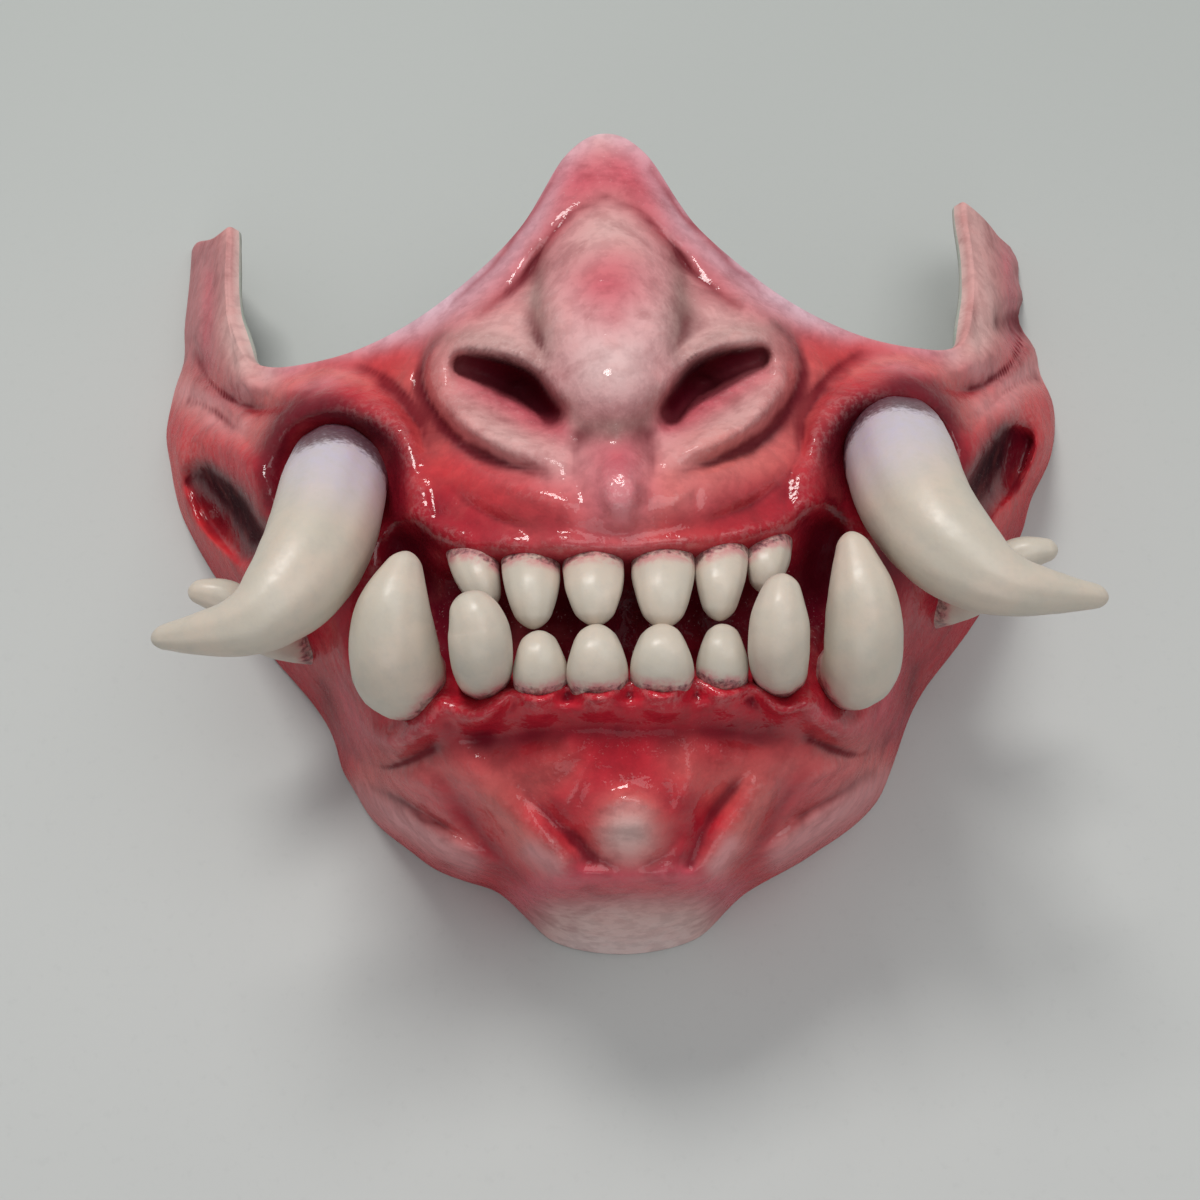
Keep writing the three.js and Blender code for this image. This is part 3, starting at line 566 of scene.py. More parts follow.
# The ridges along a tooth: how many go round it and their height as a share of its radius, then its grain.
WIDE_RIDGES, WIDE_RIDGE_HEIGHT = 5, 0.012
NARROW_RIDGES, NARROW_RIDGE_HEIGHT = 11, 0.008
TOOTH_GRAIN_HEIGHT, TOOTH_GRAIN_SIZE = 0.09, 3.0


def small_tooth(neck_a, tip_a, neck, tip, half_width):
    """Path and radii of a small tooth: widest just past the neck, drawn in to a blunt point."""
    z = GUM_ARC_MIDDLE - GUM_ARC_BEND * neck_a * neck_a
    into_gum = 1.0 if neck > tip else -1.0
    middle_a, middle = neck_a + 0.42 * (tip_a - neck_a), neck + 0.42 * (tip - neck)
    path = [(neck_a, neck + 0.5 * into_gum, z - 14), (neck_a, neck + 0.6 * into_gum, z - 4),
            (middle_a, middle, z + 1), (tip_a, tip, z)]
    shares = ((0.8, 3.0), (0.9, 3.2), (0.97, 3.4), (1.0, 3.4), (0.97, 3.3), (0.86, 3.0), (0.68, 2.4),
              (0.42, 1.5))
    return path, [(share * half_width, deep) for share, deep in shares]


def tooth_paths():
    """Every tooth's path and radii by the CAD node it stands for."""
    teeth = dict(HORNS)
    for stem, row in (("lower_incisor", LOWER_INCISORS), ("upper_tooth", UPPER_TEETH)):
        for number, size in enumerate(row, start=1):
            teeth[f"{stem}_{number}"] = small_tooth(*size)
    return teeth


def tooth_surface(portrait, path, radii, seed):
    """Closed tooth: rings carried along the smooth path, each an oval of the radii there.

    Rows stand at the cosine of equal angles and crowd to the tip, which is rounded off as a circle. Each
    ring's frame is the one before it, leaned to stay square to the path, and the tip's ring faces the eye.
    Shallow ridges run root to tip. Returns the points, the four-sided faces and the end triangles.
    """
    last = len(path) - 1
    t = np.cos(np.linspace(0, 1, TOOTH_ROWS + 1)[1:] * math.pi / 2)
    line = portrait.place(np.array(path, float))
    centre = through(line, t * last)
    step = 1e-3
    tangent = unit(through(line, np.minimum(t * last + step, last)) - through(line,
                                                                              np.maximum(t * last - step,
                                                                                         0)))
    tip, root = line[-1], line[0]
    across = np.cross(tangent[0], portrait.toward_eye(tip))
    frames = np.empty((TOOTH_ROWS, 3))
    for row in range(TOOTH_ROWS):
        across = unit(across - tangent[row] * (across @ tangent[row]))
        frames[row] = across
    deep = np.cross(frames, tangent)
    size = through(np.array(radii, float), t * (len(radii) - 1))
    length = np.linalg.norm(np.diff(line, axis=0), axis=-1).sum()
    cap = np.clip(1 - (1 - t) * length / (TIP_ROUNDING * radii[-1][0]), 0.0, 1.0)
    size = size * np.sqrt(np.maximum(1 - cap ** 2, 0.02))[:, None]
    turn = np.arange(TOOTH_RING) / TOOTH_RING * 2 * math.pi
    ridge = (1 + WIDE_RIDGE_HEIGHT * np.sin(WIDE_RIDGES * turn + seed)
             + NARROW_RIDGE_HEIGHT * np.sin(NARROW_RIDGES * turn + 2 * seed))
    oval = (np.cos(turn)[None, :, None] * (frames * size[:, :1])[:, None, :]
            + np.sin(turn)[None, :, None] * (deep * size[:, 1:])[:, None, :]) * ridge[None, :, None]
    rings = centre[:, None, :] + oval
    rings = rings + unit(oval) * (TOOTH_GRAIN_HEIGHT * grain(rings, TOOTH_GRAIN_SIZE, seed))[..., None]
    points = np.concatenate([rings.reshape(-1, 3), [tip, root]])
    numbers = np.arange(TOOTH_ROWS * TOOTH_RING).reshape(TOOTH_ROWS, TOOTH_RING)
    closed = np.concatenate([numbers, numbers[:, :1]], axis=1)
    tip_number, root_number = numbers.size, numbers.size + 1
    tip_fan = np.stack([np.full(TOOTH_RING, tip_number), closed[0, 1:], closed[0, :-1]], axis=-1)
    root_fan = np.stack([closed[-1, :-1], closed[-1, 1:], np.full(TOOTH_RING, root_number)], axis=-1)
    return points, quads(closed)[:, ::-1], np.concatenate([tip_fan, root_fan])


def sunk_no_deeper(portrait, face, points, depth):
    """The points, none deeper than depth under the painted face.

    A point that lies deeper moves along its line to the eye until it is at that depth.
    """
    short = np.clip(-depth - standing_out(portrait, face, points, 0), 0.0, None)
    return points + portrait.toward_eye(points) * short[:, None]


def root_share(portrait, points, path, radii):
    """How far the points are seen rootward of a tusk's second knot, and how far off it, in root radii."""
    path = np.array(path, float)
    toward_root = unit(path[0, :2] - path[2, :2])
    a, b, _ = portrait.seen(points)
    from_knot = (np.stack([a, b], axis=-1) - path[1, :2]) / radii[1][0]
    return from_knot @ toward_root, np.linalg.norm(from_knot, axis=-1)


def standing_out(portrait, face, points, reach, cell=0.9):
    """How much nearer the eye the points are than the painted face seen near the same (a, b).

    The face's distances are averaged in square cells of the portrait plane, each cell takes the nearest
    of its neighbours up to reach cells off, and they are read between the cells. At a reach of 0 only the
    empty cells take a neighbour's.
    """
    fa, fb, far = (v.ravel() for v in portrait.seen(face))
    low = np.array([fa.min(), fb.min()]) - 3 * cell
    shape = (np.array([fa.max(), fb.max()]) + 3 * cell - low) // cell + 2
    rows, columns = shape.astype(int)
    index = ((fa - low[0]) // cell).astype(int) * columns + ((fb - low[1]) // cell).astype(int)
    count = np.bincount(index, minlength=rows * columns)
    mean = np.bincount(index, weights=far, minlength=rows * columns) / np.maximum(count, 1)
    mean = np.where(count > 0, mean, 1e3).reshape(rows, columns)
    around = mean
    for axis in (0, 1):
        around = np.min([np.roll(around, step, axis) for step in range(-max(reach, 1), max(reach, 1) + 1)],
                        axis=0)
    mean = around if reach else np.where(mean < 1e3, mean, around)
    pa, pb, near = portrait.seen(points)
    x = np.clip((pa - low[0]) / cell - 0.5, 0, rows - 2.001)
    y = np.clip((pb - low[1]) / cell - 0.5, 0, columns - 2.001)
    i, j = x.astype(int), y.astype(int)
    s, t = x - i, y - j
    across = (1 - s) * mean[i, j] + s * mean[i + 1, j]
    above = (1 - s) * mean[i, j + 1] + s * mean[i + 1, j + 1]
    return (1 - t) * across + t * above - near


# ---- Paint --------------------------------------------------------------------------------------
def linear(red, green, blue):
    """Linear colour of a paint chip given from 0 to 255."""
    return np.array([(c / 255) ** 2.2 for c in (red, green, blue)])


CHIPS = {
    "red": linear(188, 38, 52),
    "bright": linear(206, 52, 56),
    "deep": linear(142, 22, 40),
    "maroon": linear(88, 18, 32),
    # painted shade: the darkest chip, laid into the mouth's recess, the nostrils, the sockets and the mouth
    # corners
    "shade_black": linear(44, 16, 24),
    "salmon": linear(212, 112, 106),
    "rose": linear(200, 84, 98),
    "pink": linear(218, 156, 158),
    "lilac": linear(214, 182, 192),
    "pale": linear(224, 200, 196),
    "beige": linear(212, 180, 174),
    "mauve": linear(188, 128, 130),
    "crease_shade_grey": linear(150, 122, 116),
}
# Each coat is (chip, sharpness, [(a, b, half-width, cover), ...]), sprayed in this order; some of them are
# painted shade in creases and recesses.
COATS = [
    # the nose fades out to pale skin, with a red spot on the bridge
    ("pink", 3.0, [(0, 74, 13, 0.55), (0, 62, 19, 0.85), (0, 52, 27, 0.9), (0, 42, 28, 0.9),
                   (0, 35, 18, 0.7)]),
    ("beige", 3.0, [(-14, 50, 8, 0.5), (-23, 43, 10, 0.8), (-19, 33, 6.5, 0.8), (-11, 27, 4, 0.4)]),
    ("beige", 3.0, [(14, 50, 8, 0.5), (23, 43, 10, 0.8), (19, 33, 6.5, 0.8), (12, 27, 4, 0.4)]),
    ("pink", 2.4, [(0, 47, 10, 0.7), (0, 40, 9, 0.8)]),
    ("pale", 2.4, [(0, 50, 7, 0.65), (0, 43, 8, 0.75)]),
    ("mauve", 2.0, [(0, 35, 9, 0.4), (0, 32, 8, 0.6)]),
    ("beige", 2.0, [(0, 67, 9, 0.85)]),
    ("rose", 2.2, [(0, 59, 7, 0.85), (0, 54, 5.5, 0.6)]),
    ("rose", 1.8, [(-4, 79, 5, 0.8), (3, 80, 6, 0.8), (8, 76, 4, 0.5)]),
    ("pale", 2.0, [(-4, 84.5, 4, 0.8), (0, 86.5, 5, 0.9), (4, 85, 3.6, 0.7)]),
    ("rose", 2.0, [(0.5, 28, 4.5, 0.8), (1, 20, 5, 0.8)]),
    ("pink", 1.8, [(1, 21, 3, 0.5), (1.5, 17, 3, 0.4)]),
    ("salmon", 2.0, [(18, 24, 6, 0.7), (26, 26, 5, 0.5)]),
    ("salmon", 2.0, [(10, 22, 4, 0.6), (9, 14, 4, 0.4)]),
    ("bright", 2.0, [(-36, 34, 5, 0.6), (-30, 24, 6, 0.8), (-20, 19, 5, 0.7), (-10, 16, 4, 0.5)]),
    ("bright", 2.0, [(36, 30, 5, 0.3), (30, 18, 4, 0.4), (20, 13, 4, 0.6), (10, 12, 3, 0.5)]),
    ("salmon", 2.0, [(22, 26, 4, 0.5), (28, 24, 4, 0.6), (32, 28, 3, 0.4)]),
] + [
    (chip, sharp, [(side * a, b, w, c) for a, b, w, c in path])
    for chip, sharp, path in [
        # the band along the top rim, and the wings
        ("rose", 2.4, [(4, 82, 5, 0.6), (12, 72, 6, 0.6), (20, 63, 6, 0.5), (30, 55, 5, 0.4)]),
        ("lilac", 2.4, [(2, 88, 3, 0.5), (9, 81, 3.2, 0.6), (16, 71, 4, 0.8), (24, 63, 4.4, 0.9),
                        (35, 54.5, 4.2, 0.95),
                        (46, 48.5, 4, 0.95), (56, 44, 3.6, 0.9), (62, 43.5, 3, 0.6)]),
        ("beige", 2.4, [(64, 43, 3.4, 0.5), (68, 46, 4.4, 0.8), (70, 53, 4.6, 0.8), (69, 62, 4.8, 0.75),
                        (68, 72, 5, 0.8)]),
        ("mauve", 2.2, [(77, 42, 4, 0.5), (77, 48, 3.6, 0.8), (76.5, 56, 3.8, 0.85), (75.5, 66, 4.4, 0.9)]),
        # painted shade in rose along the wing's crease
        ("rose", 1.8, [(75, 45, 1.4, 0.6), (74.6, 53, 1.2, 0.6), (74, 62, 1.2, 0.5)]),
        ("salmon", 2.0, [(80, 42, 4, 0.8), (75, 38, 4.6, 0.8), (69, 34.5, 4, 0.6)]),
        ("pink", 1.8, [(79.5, 41, 2.6, 0.7), (74, 39, 2.6, 0.7), (68, 40.5, 2.6, 0.6)]),
        ("salmon", 1.8, [(66, 33, 3, 0.5), (62, 40.6, 2.2, 0.5)]),
        # painted shade in deep red along the crease under the cheek roll
        ("deep", 1.6, [(77.6, 45, 1.2, 0.5), (74, 41.2, 1.3, 0.75), (66.5, 36.8, 1.3, 0.7),
                       (60, 38, 1.1, 0.4)]),
        ("pink", 1.8, [(74, 35, 2.4, 0.5), (69, 34, 2.2, 0.5)]),
        ("bright", 2.0, [(80, 29, 4, 0.6), (80, 20, 4, 0.5)]),
        ("bright", 2.0, [(40, 44, 5, 0.8), (50, 45, 3.4, 0.8), (59, 42, 3, 0.7)]),
        ("salmon", 1.8, [(37, 40, 5, 0.55), (34, 31, 4, 0.5)]),
        ("deep", 1.8, [(64, 12, 5, 0.5), (58, -4, 7, 0.5), (54, -16, 5, 0.4)]),
        # creases of the nose: painted shade along the grooves and under the nose's tip, in maroon, deep red
        # and grey
        ("maroon", 1.5, [(30, 51, 0.9, 0.3), (34, 47, 1.0, 0.7), (35, 40, 1.1, 0.8), (29.5, 30.5, 1.1, 0.7),
                         (21, 26, 1.1, 0.6), (12, 23.5, 1.0, 0.4)]),
        ("deep", 1.5, [(0, 75, 1.0, 0.2), (6, 72.3, 1.1, 0.5), (11, 66.8, 1.1, 0.8), (16, 60, 1.1, 0.8),
                       (24, 53.6, 1.0, 0.4)]),
        ("deep", 1.5, [(8.5, 79.6, 0.9, 0.5), (14.5, 71.6, 1.0, 0.8), (21, 63.5, 1.0, 0.7),
                       (28, 57, 0.9, 0.4)]),
        ("crease_shade_grey", 1.8, [(11.5, 65, 1.6, 0.3), (13.6, 57, 2.2, 0.8), (13.2, 50, 2.2, 0.7),
                       (12, 44, 1.6, 0.3)]),
        ("crease_shade_grey", 1.8, [(9, 38, 1.8, 0.5), (6.5, 33, 2.4, 0.6), (0, 31.4, 2.2, 0.6)]),
        ("crease_shade_grey", 1.6, [(30, 49.5, 1.4, 0.4), (21, 49, 1.2, 0.4), (14, 45, 1.2, 0.4)]),
        # nostrils: painted shade, maroon and the darkest chip under the upper edge where the light does not
        # reach, paling to rose down the lower wall
        ("rose", 2.4, [(27, 42, 3.4, 0.7), (21, 39.5, 4.6, 0.9), (14, 35, 4, 0.9), (10, 32, 2.4, 0.7)]),
        ("maroon", 2.0, [(28, 44.8, 1.6, 0.7), (21.5, 43.2, 2.7, 0.9), (15.5, 40.2, 2.8, 0.95),
                         (11.3, 35.6, 2, 0.9)]),
        ("shade_black", 2.4, [(26, 45.8, 1.1, 0.7), (21, 44.6, 1.6, 0.95), (15.5, 41.8, 1.7, 0.95),
                        (11, 36.6, 1.3, 0.8)]),
        # deeper reds round the mouth; the deep red along the creases under the lip and by the sockets is
        # painted shade, and the darkest chip in the mouth's recess is painted shade over its maroon paint
        ("deep", 2.0, [(12, 14, 4, 0.5), (24, 15, 5, 0.6), (33, 19, 5, 0.7)]),
        ("deep", 2.0, [(37, 28, 3, 0.5), (39, 38, 3, 0.4)]),
        ("maroon", 3.6, [(0, -3, 10, 0.85), (20, -3, 10, 0.85), (36, -1, 10, 0.9), (41, 11, 5, 0.8)]),
        ("shade_black", 2.4, [(12, -4, 6, 0.25), (26, -3, 7, 0.35), (38, 2, 6, 0.5)]),
        ("maroon", 2.2, [(35, 13, 3, 0.6), (38, 5, 4, 0.7), (35, -12, 4, 0.5)]),
        # sockets and mouth corners; the darkest chip laid in the socket round the tusk's root is painted
        # shade
        ("maroon", 2.6, [(63, 20, 3, 0.8), (63.4, 29, 3, 0.85), (60, 36, 3, 0.85), (53, 37.6, 2.8, 0.85),
                         (45.5, 34, 3, 0.85), (41, 28, 3, 0.8), (41, 18, 3, 0.7)]),
        ("shade_black", 4.0, [(53, 25, 8.6, 0.95)]),
        ("salmon", 1.6, [(45, 41, 1.1, 0.5), (53, 43.6, 1.1, 0.6), (60, 41.6, 1.1, 0.5)]),
        ("maroon", 2.0, [(60, 8, 6, 0.7), (50, 5, 5, 0.7), (66, 2, 5, 0.4)]),
        # gum collars; the maroon and deep red beneath them, along the groove toward the chin, are painted
        # shade
        ("rose", 1.8, [(51.5, -14, 1.6, 0.5), (48.5, -22, 1.6, 0.6), (43, -25.5, 1.6, 0.6),
                       (37, -22, 1.6, 0.5)]),
        ("maroon", 1.6, [(55, -14, 1.4, 0.5), (51.5, -25, 1.4, 0.6), (44, -29.4, 1.5, 0.6),
                         (35, -27, 1.6, 0.6),
                         (24, -26, 2.2, 0.6), (12, -25, 2.2, 0.5), (0, -24, 2.2, 0.4)]),
        ("deep", 2.0, [(46, -27, 3, 0.4), (30, -26, 4, 0.6), (10, -25, 4, 0.5)]),
        # chin and jaw; the deep red and maroon lines along their creases are painted shade
        ("rose", 2.0, [(30, -35, 4, 0.5), (42, -32, 4, 0.4), (52, -24, 3, 0.4)]),
        ("salmon", 2.0, [(12, -31, 5, 0.4), (20, -34, 5, 0.5), (44, -30, 5, 0.5)]),
        ("salmon", 2.0, [(48, -33, 3.4, 0.6), (40, -39.5, 3.6, 0.8), (31, -45, 3, 0.7)]),
        ("pink", 1.8, [(49, -34.5, 2.6, 0.6), (41, -40, 3.2, 0.8), (29, -48, 2.6, 0.7)]),
        ("rose", 2.0, [(10, -50, 3, 0.5), (19, -54, 3, 0.6), (22, -59, 2.6, 0.7)]),
        ("deep", 1.8, [(34, -33, 1.6, 0.4), (29, -39, 2, 0.7), (23, -48, 2, 0.7), (19, -52, 1.6, 0.4)]),
        ("deep", 1.8, [(12, -38, 2, 0.5), (13, -46, 1.8, 0.6), (6, -50, 1.6, 0.5)]),
        ("maroon", 1.5, [(46, -33.6, 0.9, 0.4), (40, -37, 1.0, 0.6), (33, -41, 1.0, 0.6)]),
    ] for side in (-1, 1)
] + [
    # the two sides' mouth corners stand at different heights; the darkest chip deep in their hollows is
    # painted shade
    ("maroon", 3.0, [(75, 27.5, 3.6, 0.85), (71.5, 21, 4.4, 0.9), (67, 15, 4, 0.85)]),
    ("shade_black", 3.0, [(73, 29, 2.2, 0.9), (69.5, 23, 2.8, 1.0), (66.5, 17, 3, 0.8)]),
    ("maroon", 2.0, [(77.4, 53.2, 1.8, 0.7)]),
    ("bright", 1.8, [(76, 19, 2, 0.8), (72.5, 14, 2.2, 0.8), (69, 10, 1.8, 0.6)]),
    ("bright", 1.8, [(78, 33.5, 2.4, 0.7), (82, 27, 2.6, 0.8), (80.5, 19, 2.4, 0.7)]),
    ("maroon", 3.0, [(-77, 24.5, 3.4, 0.85), (-73, 18, 4.4, 0.9), (-68, 12, 4, 0.85)]),
    ("shade_black", 3.0, [(-75.5, 25.5, 2.4, 0.9), (-70.5, 20.5, 3, 1.0), (-66.5, 14, 3, 0.9)]),
    ("bright", 1.8, [(-77.5, 17, 2, 0.8), (-73.5, 11.5, 2.2, 0.8), (-69, 7, 1.8, 0.6)]),
    ("bright", 1.8, [(-76, 31, 2.4, 0.7), (-82, 27, 2.6, 0.8), (-81.5, 18, 2.4, 0.7)]),
    ("salmon", 2.0, [(-24, -37, 3, 0.6), (-19, -43, 3, 0.8), (-13, -49, 2.6, 0.8)]),
    ("pink", 2.0, [(-17, -46, 2, 0.7), (-13, -49.5, 2, 0.7)]),
    ("salmon", 2.0, [(26, -37, 2.6, 0.6), (21.5, -44, 2.8, 0.8), (17, -50, 2.6, 0.8)]),
    ("pink", 2.0, [(20, -46, 2, 0.7), (17, -50.5, 2, 0.8)]),
    ("salmon", 3.0, [(1, -42.5, 7, 0.85)]),
    ("beige", 2.4, [(1, -43.5, 5.6, 0.9)]),
    ("mauve", 4.0, [(-14, -61, 7, 0.9), (0, -62, 8, 1.0), (14, -61, 7, 0.9)]),
    ("beige", 4.0, [(-11, -62.5, 6, 0.85), (0, -63.5, 7.4, 0.95), (11, -62.5, 6, 0.85)]),
    ("pale", 2.4, [(-9, -65, 4, 0.7), (0, -66, 5, 0.8), (9, -65, 4, 0.7)]),
    ("rose", 1.8, [(-21, -56, 2, 0.6), (-12, -52, 2, 0.7), (0, -51.5, 2, 0.7), (12, -52, 2, 0.7),
                   (21, -56, 2, 0.6)]),
]

# Where the lacquer was kept off: (sharpness, [(a, b, half-width, share), ...]).
DULL = [(3.0, [(-38, -2, 11, 0.8), (-18, -4, 11, 0.8), (18, -4, 11, 0.8), (38, -2, 11, 0.8)]),
        (2.0, [(-22, 41, 8, 0.6), (-14, 34, 5, 0.6)]), (2.0, [(22, 41, 8, 0.6), (14, 34, 5, 0.6)]),
        (2.0, [(-8, 78, 6, 0.6), (0, 80, 6, 0.6), (8, 77, 6, 0.6)]),
        (2.0, [(-16, -26, 5, 0.5), (16, -26, 5, 0.5)])]
# Where it pooled.
WET = [(2.0, [(-1, 53, 3.4, 0.7), (-1, 45, 3, 0.9)]), (2.0, [(-1.5, 42, 2.4, 0.8)]),
       (2.0, [(1.5, 20, 4, 1.0)]),
       (2.0, [(1, -37, 3, 0.9)])]


def sprayed(a, b):
    """Red ground with every coat laid over it, each by its cover at (a, b)."""
    colour = np.broadcast_to(CHIPS["red"], a.shape + (3,)).copy()
    for chip, sharp, path in COATS:
        for near, cover in laid_strokes([(sharp, path)], a, b):
            share = np.clip(cover, 0.0, 1.0)[:, None]
            colour[near] = colour[near] * (1 - share) + CHIPS[chip] * share
    return colour


def hollowness(points, normals, reach):
    """How far a net's neighbours, reach steps off, stand above each place along its normal."""
    padded = np.pad(points, ((reach, reach), (reach, reach), (0, 0)), mode="edge")
    n, m = points.shape[:2]
    around = [padded[reach + i:reach + i + n, reach + j:reach + j + m]
              for i, j in ((reach, 0), (-reach, 0), (0, reach), (0, -reach))]
    return np.sum((np.mean(around, axis=0) - points) * normals, axis=-1)


# ---- Materials ----------------------------------------------------------------------------------
class Nodes:
    """Short ways to add and join a material's nodes."""

    def __init__(self, name):
        self.material = bpy.data.materials.new(name)
        self.material.use_nodes = True
        self.tree = self.material.node_tree
        self.tree.nodes.clear()
        self.output = self.tree.nodes.new("ShaderNodeOutputMaterial")

    def add(self, kind, inputs=None, **settings):
        """A node with its settings made and its inputs set or joined."""
        node = self.tree.nodes.new(kind)
        for key, value in settings.items():
            setattr(node, key, value)
        for key, value in (inputs or {}).items():
            if isinstance(value, bpy.types.NodeSocket):
                self.tree.links.new(value, node.inputs[key])
            else:
                node.inputs[key].default_value = value
        return node

    def attribute(self, name):
        return self.add("ShaderNodeAttribute", attribute_name=name)

    def maths(self, operation, first, second=0.0, third=0.0):
        return self.add("ShaderNodeMath", {0: first, 1: second, 2: third}, operation=operation).outputs[0]

    def steps(self, value, low, high, to_low=0.0, to_high=1.0):
        """A value carried smoothly from one range to another."""
        inputs = {"Value": value, "From Min": low, "From Max": high, "To Min": to_low, "To Max": to_high}
        return self.add("ShaderNodeMapRange", inputs, interpolation_type="SMOOTHSTEP").outputs["Result"]

    def noise(self, where, scale, detail=3.0, roughness=0.55, distortion=0.0):
        inputs = {"Vector": where, "Scale": scale, "Detail": detail, "Roughness": roughness,
                  "Distortion": distortion}
        return self.add("ShaderNodeTexNoise", inputs).outputs["Fac"]

    def mix(self, share, first, second, blend="MIX"):
        """Two colours mixed by a share."""
        node = self.add("ShaderNodeMix", data_type="RGBA", blend_type=blend)
        for socket, value in ((node.inputs[0], share), (node.inputs[6], first), (node.inputs[7], second)):
            if isinstance(value, bpy.types.NodeSocket):
                self.tree.links.new(value, socket)
            else:
                socket.default_value = value
        return node.outputs[2]

    def finish(self, shader):
        self.tree.links.new(shader, self.output.inputs["Surface"])
        return self.material


def opaque(colour):
    """A colour with full alpha."""
    return (*[float(c) for c in colour], 1.0)


def painted_skin():
    """Sprayed paint with dry-brushing, under a wet-looking lacquer, thinner where the paint is pale; painted
    shade darkens the creases and a painted highlight pales the ridges.
    """
    n = Nodes("painted_skin")
    where = n.add("ShaderNodeTexCoord").outputs["Object"]
    paint = n.attribute("paint").outputs["Color"]
    hollow = n.attribute("hollow").outputs["Fac"]
    gloss = n.attribute("gloss").outputs["Fac"]
    clouds = n.noise(where, 110.0, 4.0, 0.6, 0.4)
    blotches = n.noise(where, 330.0, 3.0, 0.6)
    specks = n.noise(where, 1900.0, 2.0, 0.7)
    dust = n.noise(where, 900.0, 3.0, 0.75)

    # the spray's unevenness: patches a little darker and redder, or paler
    darker = n.mix(n.steps(clouds, 0.5, 0.68, 0.0, 0.55), paint, opaque(CHIPS["deep"]), "MULTIPLY")
    patchy = n.mix(n.steps(clouds, 0.5, 0.34, 0.0, 0.1), n.mix(0.45, paint, darker),
                   opaque(CHIPS["salmon"]))
    mottled = n.mix(n.steps(blotches, 0.42, 0.62, 0.0, 0.16), patchy, opaque(CHIPS["maroon"]))
    # wash settled in the creases together with painted shade, darker toward maroon the more sunken the place;
    # paler dry-brushing on the ridges, partly a painted highlight
    wash_and_shade = n.mix(n.steps(hollow, 0.05, 0.8, 0.0, 0.75), mottled, opaque(CHIPS["maroon"]))
    ridges = n.maths("MULTIPLY", n.steps(hollow, -0.15, -0.75), n.steps(dust, 0.44, 0.62))
    drybrush_and_highlight = n.mix(n.maths("MULTIPLY", ridges, 0.1), wash_and_shade, opaque(CHIPS["pale"]))
    pale_dust = n.maths("MULTIPLY", n.steps(specks, 0.62, 0.74), n.steps(gloss, 0.9, 0.3, 0.02, 0.2))
    pale_dust = n.maths("MULTIPLY", pale_dust, n.steps(hollow, 0.3, 0.02))
    colour = n.mix(pale_dust, drybrush_and_highlight, opaque(CHIPS["pale"]))

    bump_coarse = n.add("ShaderNodeBump", {"Height": blotches, "Strength": 0.42, "Distance": 0.0007})
    bump_fine = n.add("ShaderNodeBump", {"Height": dust, "Strength": 0.1, "Distance": 0.00025,
                                         "Normal": bump_coarse.outputs["Normal"]})
    # the lacquer's shine, dropped where the wall turns away, as thin dull lacquer does
    turned = n.add("ShaderNodeLayerWeight", {"Blend": 0.5}).outputs["Facing"]
    facing = n.steps(turned, 0.45, 0.92, 1.0, 0.12)
    coat = n.maths("MULTIPLY", n.steps(gloss, 0.15, 1.0, 0.06, 0.75), facing)
    rough = n.maths("ADD", n.steps(gloss, 0.0, 1.0, 0.52, 0.24), n.steps(dust, 0.3, 0.7, 0.0, 0.1))
    shader = n.add("ShaderNodeBsdfPrincipled", {
        "Base Color": colour, "Roughness": rough, "Normal": bump_fine.outputs["Normal"],
        "Coat Weight": coat, "Coat Roughness": 0.11, "IOR": 1.5,
        "Specular IOR Level": 0.02, "Coat IOR": 1.5, "Coat Normal": bump_coarse.outputs["Normal"]})
    return n.finish(shader.outputs[0])


def bare_resin(colours):
    """Unpainted grey-green casting resin, satin, with sanding dust and a little overspray."""
    n = Nodes("bare_resin")
    where = n.add("ShaderNodeTexCoord").outputs["Object"]
    clouds = n.noise(where, 60.0, 4.0, 0.6)
    dust = n.noise(where, 1300.0, 3.0, 0.7)
    body = n.mix(n.steps(clouds, 0.35, 0.7, 0.0, 0.35), opaque(colours.inside), opaque(CHIPS["beige"]))
    dusty = n.mix(n.steps(dust, 0.5, 0.7, 0.0, 0.25), body, (0.55, 0.56, 0.52, 1.0))
    bump = n.add("ShaderNodeBump", {"Height": dust, "Strength": 0.25, "Distance": 0.0003})
    shader = n.add("ShaderNodeBsdfPrincipled", {
        "Base Color": dusty, "Roughness": n.steps(dust, 0.3, 0.7, 0.42, 0.62), "IOR": 1.48,
        "Normal": bump.outputs["Normal"]})
    return n.finish(shader.outputs[0])


